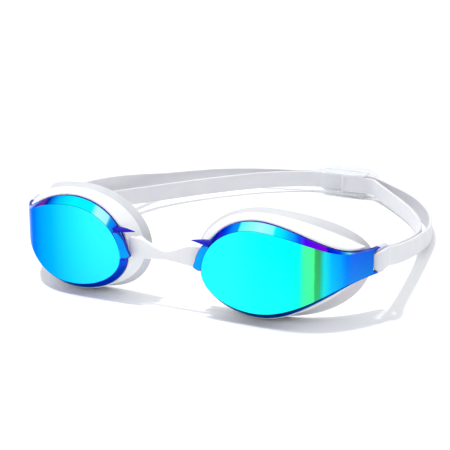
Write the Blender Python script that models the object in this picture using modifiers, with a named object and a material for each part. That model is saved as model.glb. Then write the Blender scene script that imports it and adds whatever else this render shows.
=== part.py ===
"""Swim goggles with wrap-round mirrored lenses, a soft nose bridge and a doubled strap.

Metres, +Z up.  The goggles rest on the floor z = 0 on the lower edges of their
seals and on the rear clip.  They face -Y, and +X is the wearer's left.  The eye
pieces mirror each other in the plane x = 0.

Each eyepiece is drawn in "wrap" coordinates: s runs along the front of the lens
from the nose to the temple, z is up and depth runs from the lens to the face.
"""

import math
from typing import NamedTuple

import bmesh
import bpy
from mathutils import Matrix, Vector

MM = 0.001

# ---- lens ------------------------------------------------------------------
LENS_GAP = 31.6 * MM
LENS_FLAT = 24.5 * MM
WRAP_RADIUS = 36.6 * MM
LENS_LENGTH = 68.2 * MM
LENS_HEIGHT = 36.6 * MM
LENS_LIFT = 2.2 * MM
LENS_NOSE_RISE = 15.5 * MM
LENS_TOP_S = 23.2 * MM
LENS_BOTTOM_S = 22.6 * MM
TOP_WAIST_S = 63.0 * MM
BOTTOM_WAIST_S = 68.0 * MM
LENS_WALL = 1.8 * MM
BEVEL_NOSE_WIDTH = 1.4 * MM
BEVEL_TOP_WIDTH = 2.7 * MM
BEVEL_BOTTOM_WIDTH = 2.5 * MM
BEVEL_RISE = 3.3 * MM
BEVEL_END_S = 61.0 * MM
RIM_LAND = 1.6 * MM
LEAST_BEVEL = 0.05

# ---- temple fork that holds the strap --------------------------------------
ARM_HEIGHT = 10.0 * MM
ARM_BOTTOM_Z = 16.8 * MM
UPPER_PRONG = 9.6 * MM
LOWER_PRONG = 7.2 * MM
POST_RADIUS = 1.0 * MM
POST_EMBED = 0.45 * MM

# ---- nasal horn and tab, which cover the front of the bridge socket ---------
TAB_WALL = 1.4 * MM
TAB_SLOPE = 0.18
TAB_SET_BACK = 0.15 * MM
TAB_OUTLINE = [
    (2.0, 10.3), (0.2, 7.9), (-1.0, 5.5), (-1.7, 3.0), (-2.7, 0.9), (-1.2, 0.2),
    (0.4, -0.2), (2.4, 0.8), (2.8, 5.0), (4.8, 10.2),
]
HORN_CORNERS = [
    (-4.0, -0.7, 10.85), (-4.0, -0.5, 10.4), (-0.3, -0.1, 11.4), (4.6, 0.0, 11.9), (4.6, 0.0, 10.7),
    (5.2, -2.3, 11.2), (5.2, -2.3, 10.2), (2.0, -2.3, 10.5), (2.0, -2.3, 10.0),
]

# ---- frame and seal --------------------------------------------------------
JOINT_GAP = 0.3 * MM
LIP_WALL = 0.8 * MM
LIP_DEPTH = 0.4 * MM
LIP_FADE_S = 52.0 * MM
LEAST_LIP = 0.1 * MM
FRAME_WALL = 2.0 * MM
FRAME_SEAT = 3.0 * MM
FRAME_DEPTH = 6.0 * MM
FRAME_FLARE = 1.9 * MM
FRAME_FALL = 1.15
FRAME_NOSE_REACH = 4.5 * MM
SEAL_WALL = 2.2 * MM
SEAL_NOSE_REACH = 6.3 * MM
SEAL_TEMPLE_REACH = 11.3 * MM
SEAL_TOP_RISE = 2.7 * MM
SEAL_TOP_FALL = 1.5
SEAL_DEPTH_NOSE = 9.2 * MM
SEAL_DEPTH_MIDDLE = 11.0 * MM
SEAL_DEPTH_TEMPLE = 6.8 * MM

# ---- nose bridge -----------------------------------------------------------
BEAD_INSET = 3.6 * MM
BEAD_RADIUS = 1.2 * MM
BRIDGE_WALL = 1.6 * MM
BRIDGE_NECK = 1.4 * MM
TONGUE_REACH = 2.6 * MM
BRIDGE_WAIST = 3.6 * MM
BRIDGE_END_HEIGHT = 8.2 * MM
BRIDGE_WAIST_Z = 20.4 * MM
BRIDGE_END_Z = 21.6 * MM
SOCKET_WALL = 1.0 * MM
BEAD_CLEARANCE = 0.3 * MM
TONGUE_FRONT_GAP = 1.5 * BEAD_CLEARANCE
TONGUE_END_GAP = 3 * BEAD_CLEARANCE

# ---- strap -----------------------------------------------------------------
STRAP_HEIGHT = 7.6 * MM
STRAP_WALL = 1.5 * MM
STRAP_CLEARANCE = 0.25 * MM
STRAP_STEP = 3.0 * MM
CLIP_STRAP_Z = 2.6 * MM
STRAP_BACK_Y = 169.8 * MM
STRAP_LEAD = 5.0 * MM

# ---- rear clip -------------------------------------------------------------
CLIP_X = 3.4 * MM
CLIP_WIDTH = 33.0 * MM
CLIP_HEIGHT = 14.0 * MM
CLIP_PLATE = 1.4 * MM
CLIP_WALL = 1.2 * MM
CLIP_BODY_WIDTH = 22.0 * MM
CLIP_BAR = 2.2 * MM
SEAM_X = 3.2 * MM
INNER_OVERLAP = 6.0 * MM
OUTER_END_GAP = 8.4 * MM

# ---- worked out from the sizes above ---------------------------------------
LENS_TOP_Z = LENS_LIFT + LENS_HEIGHT
LENS_NOSE_Z = LENS_LIFT + LENS_NOSE_RISE
ARM_TOP_Z = ARM_BOTTOM_Z + ARM_HEIGHT
SLOT_HEIGHT = STRAP_HEIGHT + 2 * STRAP_CLEARANCE
SLOT_BOTTOM_Z = ARM_BOTTOM_Z + (ARM_HEIGHT - SLOT_HEIGHT) / 2
TEMPLE_STRAP_Z = SLOT_BOTTOM_Z + STRAP_CLEARANCE
FOLD_RADIUS = POST_RADIUS + STRAP_CLEARANCE + STRAP_WALL / 2
POST_S = LENS_LENGTH + FOLD_RADIUS + STRAP_WALL / 2 + JOINT_GAP
SOCKET_RADIUS = BEAD_RADIUS + BEAD_CLEARANCE + SOCKET_WALL
BEAD_X = LENS_GAP / 2 - BEAD_INSET
BEAD_Y = FRAME_DEPTH - SOCKET_RADIUS
BRIDGE_FRONT_Y = BEAD_Y - BRIDGE_NECK - BRIDGE_WALL
SOCKET_FRONT_Y = BRIDGE_FRONT_Y + BRIDGE_WALL + TONGUE_FRONT_GAP
FRAME_FRONT_DEPTH = LENS_WALL + JOINT_GAP
FRAME_END_S = LENS_LENGTH - 2.2 * MM
LAYER_PITCH = STRAP_WALL + JOINT_GAP
LAYER_Y = [STRAP_BACK_Y + LAYER_PITCH * layer for layer in range(3)]
CHANNEL_FRONT_Y = LAYER_Y[0] - STRAP_WALL / 2 - 2 * JOINT_GAP
CHANNEL_BACK_Y = LAYER_Y[2] + STRAP_WALL / 2 + 2 * JOINT_GAP
CLIP_BACK_Y = CHANNEL_BACK_Y + CLIP_PLATE
CENTRE_Y = (CLIP_BACK_Y - BEVEL_RISE) / 2

QUARTER_STEPS = 18
END_STEPS = 3
SHARP_ABOVE = 24.0

COLOURS = {
    "mirror_lens": ((0.05, 0.55, 0.95, 1.0), 0.08, 0.9),
    "frame_white": ((0.88, 0.88, 0.89, 1.0), 0.35, 0.0),
    "seal_white": ((0.78, 0.79, 0.80, 1.0), 0.45, 0.0),
    "bridge_white": ((0.90, 0.90, 0.90, 1.0), 0.40, 0.0),
    "strap_silicone": ((0.86, 0.86, 0.87, 1.0), 0.50, 0.0),
    "clip_clear": ((0.85, 0.88, 0.90, 0.35), 0.10, 0.0),
}


# ---- scene helpers -----------------------------------------------------------
def clear_scene():
    """Remove every object of the scene."""
    for obj in list(bpy.data.objects):
        bpy.data.objects.remove(obj, do_unlink=True)


def new_collection(name):
    """Make a collection under the scene's own."""
    collection = bpy.data.collections.new(name)
    bpy.context.scene.collection.children.link(collection)
    return collection


def material(name):
    """A Principled material from the colour table."""
    colour, roughness, metallic = COLOURS[name]
    made = bpy.data.materials.get(name) or bpy.data.materials.new(name)
    made.use_nodes = True
    shader = made.node_tree.nodes["Principled BSDF"]
    shader.inputs["Base Color"].default_value = colour
    shader.inputs["Roughness"].default_value = roughness
    shader.inputs["Metallic"].default_value = metallic
    shader.inputs["Alpha"].default_value = colour[3]
    return made


def object_from_bmesh(name, shape, collection):
    """Turn a bmesh into an object, its faces pointing outwards."""
    bmesh.ops.recalc_face_normals(shape, faces=shape.faces)
    mesh = bpy.data.meshes.new(name)
    shape.to_mesh(mesh)
    shape.free()
    obj = bpy.data.objects.new(name, mesh)
    collection.objects.link(obj)
    return obj


def as_cutter(obj):
    """Show a helper solid as wire only."""
    obj.hide_render = True
    obj.display_type = "WIRE"
    return obj


def boolean(obj, other, operation):
    """Add an exact Boolean of one object with a helper solid."""
    modifier = obj.modifiers.new(other.name, "BOOLEAN")
    modifier.operation = operation
    modifier.solver = "EXACT"
    modifier.object = other


def baked_mesh(obj):
    """The object's mesh with its modifiers applied."""
    bpy.context.view_layer.update()
    graph = bpy.context.evaluated_depsgraph_get()
    mesh = bpy.data.meshes.new_from_object(obj.evaluated_get(graph))
    shape = bmesh.new()
    shape.from_mesh(mesh)
    bmesh.ops.remove_doubles(shape, verts=shape.verts, dist=0.002 * MM)
    bmesh.ops.dissolve_degenerate(shape, edges=shape.edges, dist=0.002 * MM)
    bpy.data.meshes.remove(mesh)
    return shape


def box(name, low, high, collection):
    """An axis-aligned box between two corners."""
    shape = bmesh.new()
    bmesh.ops.create_cube(shape, size=1.0)
    size = Vector(high) - Vector(low)
    middle = (Vector(high) + Vector(low)) / 2
    bmesh.ops.scale(shape, vec=size, verts=shape.verts)
    bmesh.ops.translate(shape, vec=middle, verts=shape.verts)
    return object_from_bmesh(name, shape, collection)


def upright_cylinder(name, centre, radius, low_z, high_z, collection):
    """A vertical cylinder round a plan position."""
    shape = bmesh.new()
    bmesh.ops.create_cone(
        shape, cap_ends=True, segments=24, radius1=radius, radius2=radius, depth=high_z - low_z
    )
    bmesh.ops.translate(shape, vec=(centre[0], centre[1], (low_z + high_z) / 2), verts=shape.verts)
    return object_from_bmesh(name, shape, collection)


def plate(name, outline, front_y, thickness, collection):
    """A flat plate with an (x, z) outline, from front_y back by its thickness."""
    curve = bpy.data.curves.new(name, "CURVE")
    curve.dimensions = "2D"
    curve.fill_mode = "BOTH"
    curve.extrude = thickness / 2
    spline = curve.splines.new("POLY")
    spline.points.add(len(outline) - 1)
    for point, (x, z) in zip(spline.points, outline):
        point.co = (x, z, 0.0, 1.0)
    spline.use_cyclic_u = True
    flat = bpy.data.objects.new(name + "_curve", curve)
    collection.objects.link(flat)
    shape = baked_mesh(flat)
    bpy.data.objects.remove(flat, do_unlink=True)
    stand = Matrix.Translation((0.0, front_y + thickness / 2, 0.0)) @ Matrix.Rotation(math.pi / 2, 4, "X")
    bmesh.ops.transform(shape, matrix=stand, verts=shape.verts)
    return object_from_bmesh(name, shape, collection)


# ---- wrap coordinates --------------------------------------------------------
def wrap_turn(s):
    """How far the lens has turned back towards the ear at s, in radians."""
    return max(0.0, s - LENS_FLAT) / WRAP_RADIUS


def wrap(s, z, depth):
    """World position of a point given along, up and behind the lens's front."""
    turn = wrap_turn(s)
    x = LENS_GAP / 2 + min(s, LENS_FLAT) + WRAP_RADIUS * math.sin(turn)
    y = WRAP_RADIUS * (1.0 - math.cos(turn))
    return Vector((x - depth * math.sin(turn), y + depth * math.cos(turn), z))


class Outline(NamedTuple):
    """A closed outline round one eye: nose, top, temple end and bottom."""

    nose_s: float
    nose_z: float
    top_s: float
    top_z: float
    bottom_s: float
    bottom_z: float
    end_s: float
    end_top_z: float
    end_bottom_z: float
    style: str
    top_waist_s: float = LENS_LENGTH
    bottom_waist_s: float = LENS_LENGTH
    chin: float = 1.0

    def inset(self, width):
        """The same outline drawn in by a width on every side."""
        return self._replace(
            nose_s=self.nose_s + width,
            top_z=self.top_z - width,
            bottom_z=self.bottom_z + width,
            end_s=self.end_s - width,
            end_top_z=self.end_top_z - width / 2,
            end_bottom_z=self.end_bottom_z + width / 2,
        )

    def tail(self, part, start_s, waist_s):
        """Place along the outline and share of its height, one part of the way to the end."""
        if self.style == "round":
            along = math.sin(part * math.pi / 2)
            high = math.cos(part * math.pi / 2)
            if start_s == self.top_s:
                high **= SEAL_TOP_FALL
            return start_s + (self.end_s - start_s) * along, high
        s = start_s + (self.end_s - start_s) * part
        if self.style == "almond":
            return s, math.cos(part * math.pi / 2) ** FRAME_FALL
        return s, 0.5 + 0.5 * math.cos(min(1.0, (s - start_s) / (waist_s - start_s)) * math.pi)

    def points(self):
        """The outline's (s, z) points, from the nose over the top and back below."""
        found = []
        for step in range(QUARTER_STEPS):
            angle = step / QUARTER_STEPS * math.pi / 2
            s = self.top_s - (self.top_s - self.nose_s) * math.cos(angle)
            found.append((s, self.nose_z + (self.top_z - self.nose_z) * math.sin(angle)))
        for step in range(QUARTER_STEPS):
            s, high = self.tail(step / QUARTER_STEPS, self.top_s, self.top_waist_s)
            found.append((s, self.end_top_z + (self.top_z - self.end_top_z) * high))
        for step in range(END_STEPS):
            share = step / END_STEPS
            found.append((self.end_s, self.end_top_z + (self.end_bottom_z - self.end_top_z) * share))
        for step in range(QUARTER_STEPS, 0, -1):
            s, high = self.tail(step / QUARTER_STEPS, self.bottom_s, self.bottom_waist_s)
            found.append((s, self.end_bottom_z + (self.bottom_z - self.end_bottom_z) * high))
        for step in range(QUARTER_STEPS, 0, -1):
            angle = step / QUARTER_STEPS * math.pi / 2
            s = self.bottom_s - (self.bottom_s - self.nose_s) * max(0.0, math.cos(angle)) ** self.chin
            found.append((s, self.nose_z + (self.bottom_z - self.nose_z) * math.sin(angle)))
        return found


LENS_OUTLINE = Outline(
    0.0, LENS_NOSE_Z, LENS_TOP_S, LENS_TOP_Z, LENS_BOTTOM_S, LENS_LIFT,
    LENS_LENGTH, ARM_TOP_Z, ARM_BOTTOM_Z, "arm", TOP_WAIST_S, BOTTOM_WAIST_S,
)
FRAME_REBATE_OUTLINE = LENS_OUTLINE.inset(-JOINT_GAP)._replace(
    end_s=FRAME_END_S - LIP_WALL, end_top_z=ARM_TOP_Z + JOINT_GAP, end_bottom_z=ARM_BOTTOM_Z - JOINT_GAP
)
FRAME_FRONT_OUTLINE = FRAME_REBATE_OUTLINE.inset(-LIP_WALL)._replace(
    end_s=FRAME_END_S, end_top_z=ARM_TOP_Z + JOINT_GAP + LIP_WALL,
    end_bottom_z=ARM_BOTTOM_Z - JOINT_GAP - LIP_WALL,
)
FRAME_BACK_OUTLINE = Outline(
    -FRAME_NOSE_REACH, LENS_NOSE_Z + 2.0 * MM, LENS_TOP_S, LENS_TOP_Z + FRAME_FLARE,
    LENS_BOTTOM_S, LENS_LIFT - FRAME_FLARE / 2, FRAME_END_S, ARM_TOP_Z + JOINT_GAP + LIP_WALL,
    ARM_BOTTOM_Z - JOINT_GAP - LIP_WALL, "almond",
)
SEAL_BACK_OUTLINE = Outline(
    -SEAL_NOSE_REACH, LENS_NOSE_Z + 2.3 * MM, LENS_TOP_S, LENS_TOP_Z + SEAL_TOP_RISE,
    LENS_BOTTOM_S + 3.4 * MM, 0.0, LENS_LENGTH + SEAL_TEMPLE_REACH, LENS_NOSE_Z + 3.8 * MM,
    LENS_NOSE_Z + 0.8 * MM, "round", chin=0.7,
)


def lip_depth(s):
    """Depth of the lip's front edge, which fades into the seat along the arm."""
    share = min(max((s - LIP_FADE_S) / (FRAME_END_S - LIP_WALL - LIP_FADE_S), 0.0), 1.0)
    return LIP_DEPTH + (FRAME_FRONT_DEPTH - LEAST_LIP - LIP_DEPTH) * share


def frame_depth(s):
    """Depth of the line where the frame meets the seal."""
    return FRAME_DEPTH - 0.8 * MM * min(max(s / LENS_LENGTH, 0.0), 1.0)


def seal_depth(s):
    """Depth of the seal's back edge, deepest in the middle of the eye."""
    if s < LENS_TOP_S:
        share = (s + SEAL_NOSE_REACH) / (LENS_TOP_S + SEAL_NOSE_REACH)
        return SEAL_DEPTH_NOSE + (SEAL_DEPTH_MIDDLE - SEAL_DEPTH_NOSE) * share
    share = (s - LENS_TOP_S) / (LENS_LENGTH + SEAL_TEMPLE_REACH - LENS_TOP_S)
    return SEAL_DEPTH_MIDDLE + (SEAL_DEPTH_TEMPLE - SEAL_DEPTH_MIDDLE) * share ** 2


def ring_body(sections):
    """A closed ring lofted through rings of points, the last joined to the first."""
    shape = bmesh.new()
    rings = [[shape.verts.new(point) for point in section] for section in sections]
    count = len(rings[0])
    for here, there in zip(rings, rings[1:] + rings[:1]):
        for index in range(count):
            following = (index + 1) % count
            shape.faces.new((here[index], here[following], there[following], there[index]))
    return shape


# ---- lens ----------------------------------------------------------------------
def bevel_share(s):
    """How much of the full bevel width is left at s; it fades out along the arm."""
    along = (s - LENS_TOP_S) / (BEVEL_END_S - LENS_TOP_S)
    return math.cos(min(max(along, 0.0), 1.0) * math.pi / 2) ** 0.8


def inward(points, index):
    """Unit direction into the outline at one of its points."""
    before = Vector(points[index - 1])
    after = Vector(points[(index + 1) % len(points)])
    along = (after - before).normalized()
    return Vector((along.y, -along.x))


def bevel_width(direction):
    """Full bevel width where the outline's inward direction is this one."""
    upright = BEVEL_TOP_WIDTH if direction.y < 0 else BEVEL_BOTTOM_WIDTH
    return BEVEL_NOSE_WIDTH * direction.x ** 2 + upright * direction.y ** 2


def lens_ring(shape, points, extra, bevelled, depth, outer):
    """A ring of vertices inside the outline, shared with the outer ring where the bevel ends."""
    ring = []
    for index, (s, z) in enumerate(points):
        share = bevel_share(s)
        if share < LEAST_BEVEL:
            ring.append(outer[index])
            continue
        direction = inward(points, index)
        width = (bevel_width(direction) if bevelled else 0.0) + extra
        spot = Vector((s, z)) + direction * width * share
        rise = BEVEL_RISE * share ** 1.6 if bevelled else 0.0
        ring.append(shape.verts.new(wrap(spot.x, spot.y, depth - rise)))
    return ring


def join_rings(shape, here, there):
    """Faces between two rings, leaving out what is shared."""
    count = len(here)
    for index in range(count):
        following = (index + 1) % count
        corners = [here[index], here[following], there[following], there[index]]
        unique = list(dict.fromkeys(corners))
        if len(unique) > 2:
            shape.faces.new(unique)


def fill_columns(shape, ring):
    """Close a ring with upright strips between its upper and lower points."""
    count = len(ring)
    columns = 2 * QUARTER_STEPS
    shape.faces.new((ring[0], ring[1], ring[-1]))
    for index in range(1, columns - 1):
        shape.faces.new((ring[index], ring[index + 1], ring[count - index - 1], ring[count - index]))
    shape.faces.new(ring[columns - 1:count - columns + 2])


def lens_shell(cutters):
    """The lens: raised face, bevel, flat rim and the hollow behind."""
    points = LENS_OUTLINE._replace(end_s=LENS_LENGTH + UPPER_PRONG).points()
    shape = bmesh.new()
    rim = [shape.verts.new(wrap(s, z, 0.0)) for s, z in points]
    rim_back = [shape.verts.new(wrap(s, z, LENS_WALL)) for s, z in points]
    face = lens_ring(shape, points, 0.0, True, 0.0, rim)
    land = lens_ring(shape, points, RIM_LAND, False, LENS_WALL, rim_back)
    hollow = lens_ring(shape, points, LENS_WALL / 2, True, LENS_WALL, land)
    fill_columns(shape, face)
    join_rings(shape, rim, face)
    join_rings(shape, rim, rim_back)
    join_rings(shape, rim_back, land)
    join_rings(shape, land, hollow)
    fill_columns(shape, hollow)
    return object_from_bmesh("lens_shell", shape, cutters)


def fork_cutter(cutters):
    """The open slot between the two prongs."""
    start = wrap(LENS_LENGTH, 0.0, 0.0)
    turn = wrap_turn(POST_S)
    shape = bmesh.new()
    bmesh.ops.create_cube(shape, size=1.0)
    length = 3 * UPPER_PRONG
    bmesh.ops.scale(shape, vec=(length, length, SLOT_HEIGHT), verts=shape.verts)
    bmesh.ops.translate(shape, vec=(length / 2, 0.0, SLOT_BOTTOM_Z + SLOT_HEIGHT / 2), verts=shape.verts)
    bmesh.ops.rotate(shape, cent=(0, 0, 0), matrix=Matrix.Rotation(turn, 3, "Z"), verts=shape.verts)
    bmesh.ops.translate(shape, vec=start, verts=shape.verts)
    return as_cutter(object_from_bmesh("fork_cutter", shape, cutters))


def lower_prong_cutter(cutters):
    """Trims the lower prong shorter than the upper one."""
    start = wrap(LENS_LENGTH + LOWER_PRONG, 0.0, 0.0)
    turn = wrap_turn(LENS_LENGTH + LOWER_PRONG)
    shape = bmesh.new()
    bmesh.ops.create_cube(shape, size=1.0)
    length = 3 * UPPER_PRONG
    height = ARM_HEIGHT / 2
    bmesh.ops.scale(shape, vec=(length, length, height), verts=shape.verts)
    bmesh.ops.translate(
        shape, vec=(length / 2, 0.0, ARM_BOTTOM_Z - 1.0 * MM + height / 2), verts=shape.verts
    )
    bmesh.ops.rotate(shape, cent=(0, 0, 0), matrix=Matrix.Rotation(turn, 3, "Z"), verts=shape.verts)
    bmesh.ops.translate(shape, vec=start, verts=shape.verts)
    return as_cutter(object_from_bmesh("lower_prong_cutter", shape, cutters))


def post_place():
    """Plan position of the strap post's axis."""
    return wrap(POST_S, 0.0, LENS_WALL / 2)


def lens_shape(cutters):
    """One lens: shell, fork, strap post, nasal horn and tab."""
    lens = lens_shell(cutters)
    boolean(lens, fork_cutter(cutters), "DIFFERENCE")
    boolean(lens, lower_prong_cutter(cutters), "DIFFERENCE")
    post = upright_cylinder(
        "strap_post", post_place(), POST_RADIUS, SLOT_BOTTOM_Z - POST_EMBED,
        SLOT_BOTTOM_Z + SLOT_HEIGHT + POST_EMBED, cutters,
    )
    boolean(lens, as_cutter(post), "UNION")
    boolean(lens, as_cutter(nasal_tab(cutters)), "UNION")
    boolean(lens, as_cutter(nasal_horn(cutters)), "UNION")
    return as_cutter(lens)


def nasal_tab(cutters):
    """The flat tab beside the nose, sloping back from the lens's face."""
    nose_x = LENS_GAP / 2
    outline = [(nose_x + x * MM, LENS_NOSE_Z + z * MM) for x, z in TAB_OUTLINE]
    tab = plate("nasal_tab", outline, TAB_SET_BACK - BEVEL_RISE, TAB_WALL, cutters)
    for vert in tab.data.vertices:
        vert.co.y += max(0.0, nose_x + BEVEL_NOSE_WIDTH - vert.co.x) * TAB_SLOPE
    return tab


def nasal_horn(cutters):
    """The pointed horn above the tab."""
    shape = bmesh.new()
    for x, y, z in HORN_CORNERS:
        shape.verts.new(Vector((LENS_GAP / 2, 0.0, LENS_NOSE_Z)) + knot(x, y, z))
    hull = bmesh.ops.convex_hull(shape, input=shape.verts)
    bmesh.ops.delete(shape, geom=hull["geom_unused"] + hull["geom_interior"], context="VERTS")
    return object_from_bmesh("nasal_horn", shape, cutters)


# ---- frame and seal --------------------------------------------------------------
def bead_socket(cutters):
    """The solid lug on the frame that cradles the bridge's end bead."""
    return as_cutter(upright_cylinder(
        "socket_lug", (BEAD_X, BEAD_Y), SOCKET_RADIUS,
        BRIDGE_END_Z - BRIDGE_END_HEIGHT / 2, BRIDGE_END_Z + BRIDGE_END_HEIGHT / 2, cutters,
    ))


def frame_shape(cutters):
    """One rigid eye frame with its bridge socket."""
    front = FRAME_FRONT_OUTLINE.points()
    rebate = FRAME_REBATE_OUTLINE.points()
    seat = LENS_OUTLINE._replace(end_s=FRAME_END_S).inset(FRAME_SEAT).points()
    back = FRAME_BACK_OUTLINE.points()
    inner = FRAME_BACK_OUTLINE.inset(FRAME_WALL).points()
    shape = ring_body([
        [wrap(s, z, lip_depth(s)) for s, z in front],
        [wrap(s, z, frame_depth(s)) for s, z in back],
        [wrap(s, z, frame_depth(s)) for s, z in inner],
        [wrap(s, z, FRAME_FRONT_DEPTH) for s, z in seat],
        [wrap(s, z, FRAME_FRONT_DEPTH) for s, z in rebate],
        [wrap(s, z, lip_depth(s)) for s, z in rebate],
    ])
    frame = object_from_bmesh("frame_ring", shape, cutters)
    boolean(frame, bead_socket(cutters), "UNION")
    half_end = BRIDGE_END_HEIGHT / 2 + 2 * BEAD_CLEARANCE
    pocket = box(
        "tongue_pocket", (0.0, -LENS_HEIGHT, BRIDGE_END_Z - half_end),
        (BEAD_X + TONGUE_REACH + TONGUE_END_GAP, SOCKET_FRONT_Y, BRIDGE_END_Z + half_end), cutters,
    )
    boolean(frame, as_cutter(pocket), "DIFFERENCE")
    bore = upright_cylinder(
        "bead_bore", (BEAD_X, BEAD_Y), BEAD_RADIUS + BEAD_CLEARANCE, BRIDGE_END_Z - half_end,
        BRIDGE_END_Z + half_end, cutters,
    )
    boolean(frame, as_cutter(bore), "DIFFERENCE")
    return as_cutter(frame)


def seal_shape(cutters):
    """One soft seal, flaring from the frame to the face."""
    front = FRAME_BACK_OUTLINE.inset(JOINT_GAP)
    back = SEAL_BACK_OUTLINE
    shape = ring_body([
        [wrap(s, z, frame_depth(s) + JOINT_GAP) for s, z in front.points()],
        [wrap(s, z, seal_depth(s)) for s, z in back.points()],
        [wrap(s, z, seal_depth(s) + JOINT_GAP) for s, z in back.inset(SEAL_WALL).points()],
        [wrap(s, z, frame_depth(s) + JOINT_GAP) for s, z in front.inset(FRAME_WALL).points()],
    ])
    return as_cutter(object_from_bmesh("seal_ring", shape, cutters))


# ---- nose bridge -------------------------------------------------------------------
def bridge_shape(cutters):
    """The soft bridge: a waisted web whose ends each carry a bead on a neck behind."""
    steps = 12
    reach = BEAD_X + TONGUE_REACH
    upper = []
    lower = []
    for step in range(-steps, steps + 1):
        share = min(1.0, abs(step) / steps * reach / BEAD_X)
        ease = share * share * (3 - 2 * share)
        middle = BRIDGE_WAIST_Z + (BRIDGE_END_Z - BRIDGE_WAIST_Z) * ease
        half = (BRIDGE_WAIST + (BRIDGE_END_HEIGHT - BRIDGE_WAIST) * ease) / 2
        x = reach * step / steps
        upper.append((x, middle + half))
        lower.append((x, middle - half))
    web = plate("bridge_web", upper + lower[::-1], BRIDGE_FRONT_Y, BRIDGE_WALL, cutters)
    bottom_z = BRIDGE_END_Z - BRIDGE_END_HEIGHT / 2 + BEAD_CLEARANCE
    top_z = BRIDGE_END_Z + BRIDGE_END_HEIGHT / 2 - BEAD_CLEARANCE
    for side in (-1, 1):
        x = side * BEAD_X
        bead = upright_cylinder(f"bridge_bead_{side}", (x, BEAD_Y), BEAD_RADIUS, bottom_z, top_z, cutters)
        boolean(web, as_cutter(bead), "UNION")
        neck = box(
            f"bridge_neck_{side}", (x - BEAD_RADIUS / 2, BRIDGE_FRONT_Y + BRIDGE_WALL / 2, bottom_z),
            (x + BEAD_RADIUS / 2, BEAD_Y, top_z), cutters,
        )
        boolean(web, as_cutter(neck), "UNION")
    return as_cutter(web)


# ---- strap ---------------------------------------------------------------------------
def smooth_path(knots, step):
    """Points about one step apart on a smooth curve through the knots."""
    ends = [2 * knots[0] - knots[1]] + knots + [2 * knots[-1] - knots[-2]]
    found = []
    for index in range(1, len(ends) - 2):
        before, start, stop, after = ends[index - 1:index + 3]
        count = max(1, round((stop - start).length / step))
        for part in range(count):
            t = part / count
            found.append(0.5 * (
                2 * start + (stop - before) * t
                + (2 * before - 5 * start + 4 * stop - after) * t * t
                + (3 * start - before - 3 * stop + after) * t ** 3
            ))
    found.append(knots[-1])
    return found


def fold_path(post):
    """The half turn round the post, from its outboard to its inboard side."""
    steps = 9
    found = []
    for step in range(1, steps):
        angle = -math.pi * step / steps
        offset = Vector((math.cos(angle), math.sin(angle), 0.0)) * FOLD_RADIUS
        found.append(Vector((post.x, post.y, TEMPLE_STRAP_Z)) + offset)
    return found


def ribbon(points, cutters):
    """A flat strap that stands on its lower edge along the points."""
    shape = bmesh.new()
    low = [shape.verts.new(point) for point in points]
    high = [shape.verts.new(point + Vector((0, 0, STRAP_HEIGHT))) for point in points]
    for index in range(len(points) - 1):
        shape.faces.new((low[index], low[index + 1], high[index + 1], high[index]))
    mesh = bpy.data.meshes.new("ribbon")
    shape.to_mesh(mesh)
    shape.free()
    obj = bpy.data.objects.new("ribbon", mesh)
    cutters.objects.link(obj)
    wall = obj.modifiers.new("wall", "SOLIDIFY")
    wall.thickness = STRAP_WALL
    wall.offset = 0.0
    wall.use_even_offset = True
    return as_cutter(obj)


def knot(x, y, z):
    """A point given in millimetres."""
    return Vector((x, y, z)) * MM


def route(rows):
    """Strap route points: shares of the post's x and of the loop's depth, and z in millimetres."""
    return [Vector((x * post_place().x, y * STRAP_BACK_Y, z * MM)) for x, y, z in rows]


def strap_shape(clip_inner, clip_outer, inner_route, outer_route, side, cutters):
    """One side's strap: from the clip out to the temple post, round it and back."""
    post = post_place()
    lead = Vector((0.0, STRAP_LEAD, 0.0))
    outboard = Vector((post.x + FOLD_RADIUS, post.y, TEMPLE_STRAP_Z))
    inboard = Vector((post.x - FOLD_RADIUS, post.y, TEMPLE_STRAP_Z))
    outer_knots = clip_outer + outer_route + [outboard + lead, outboard]
    inner_knots = [inboard, inboard + lead] + inner_route[::-1] + clip_inner[::-1]
    outer = smooth_path(outer_knots, STRAP_STEP)
    inner = smooth_path(inner_knots, STRAP_STEP)
    path = outer + fold_path(post) + inner
    if side < 0:
        path = [Vector((-point.x, point.y, point.z)) for point in path]
    return ribbon(path, cutters)


def left_strap_shape(cutters):
    """The strap on the wearer's left."""
    start = OUTER_END_GAP / 2
    clip_outer = [
        Vector((CLIP_X + start, LAYER_Y[2], CLIP_STRAP_Z)),
        Vector((CLIP_X + start + 5 * MM, LAYER_Y[2], CLIP_STRAP_Z)),
        Vector((CLIP_X + start + 10 * MM, LAYER_Y[2], CLIP_STRAP_Z)),
    ]
    outer_route = route([
        (0.369, 0.992, 1.6), (0.557, 0.930, 0.8), (0.687, 0.863, 0.4), (0.792, 0.782, 0.3),
        (0.866, 0.681, 0.9), (0.918, 0.542, 4.5), (0.956, 0.418, 8.4), (0.983, 0.315, 12.1),
        (1.007, 0.224, 16.1),
    ])
    clip_inner = [
        Vector((SEAM_X, LAYER_Y[0], CLIP_STRAP_Z)),
        Vector((SEAM_X + 7 * MM, LAYER_Y[0], CLIP_STRAP_Z)),
        Vector((SEAM_X + 14.5 * MM, LAYER_Y[0], CLIP_STRAP_Z)),
    ]
    inner_route = route([
        (0.306, 0.979, 1.7), (0.424, 0.930, 0.8), (0.540, 0.874, 0.5), (0.658, 0.809, 0.3),
        (0.768, 0.727, 0.4), (0.839, 0.642, 1.6), (0.892, 0.533, 4.6), (0.929, 0.418, 8.4),
        (0.956, 0.315, 12.1), (0.972, 0.224, 16.1),
    ])
    return strap_shape(clip_inner, clip_outer, inner_route, outer_route, 1, cutters)


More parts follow.
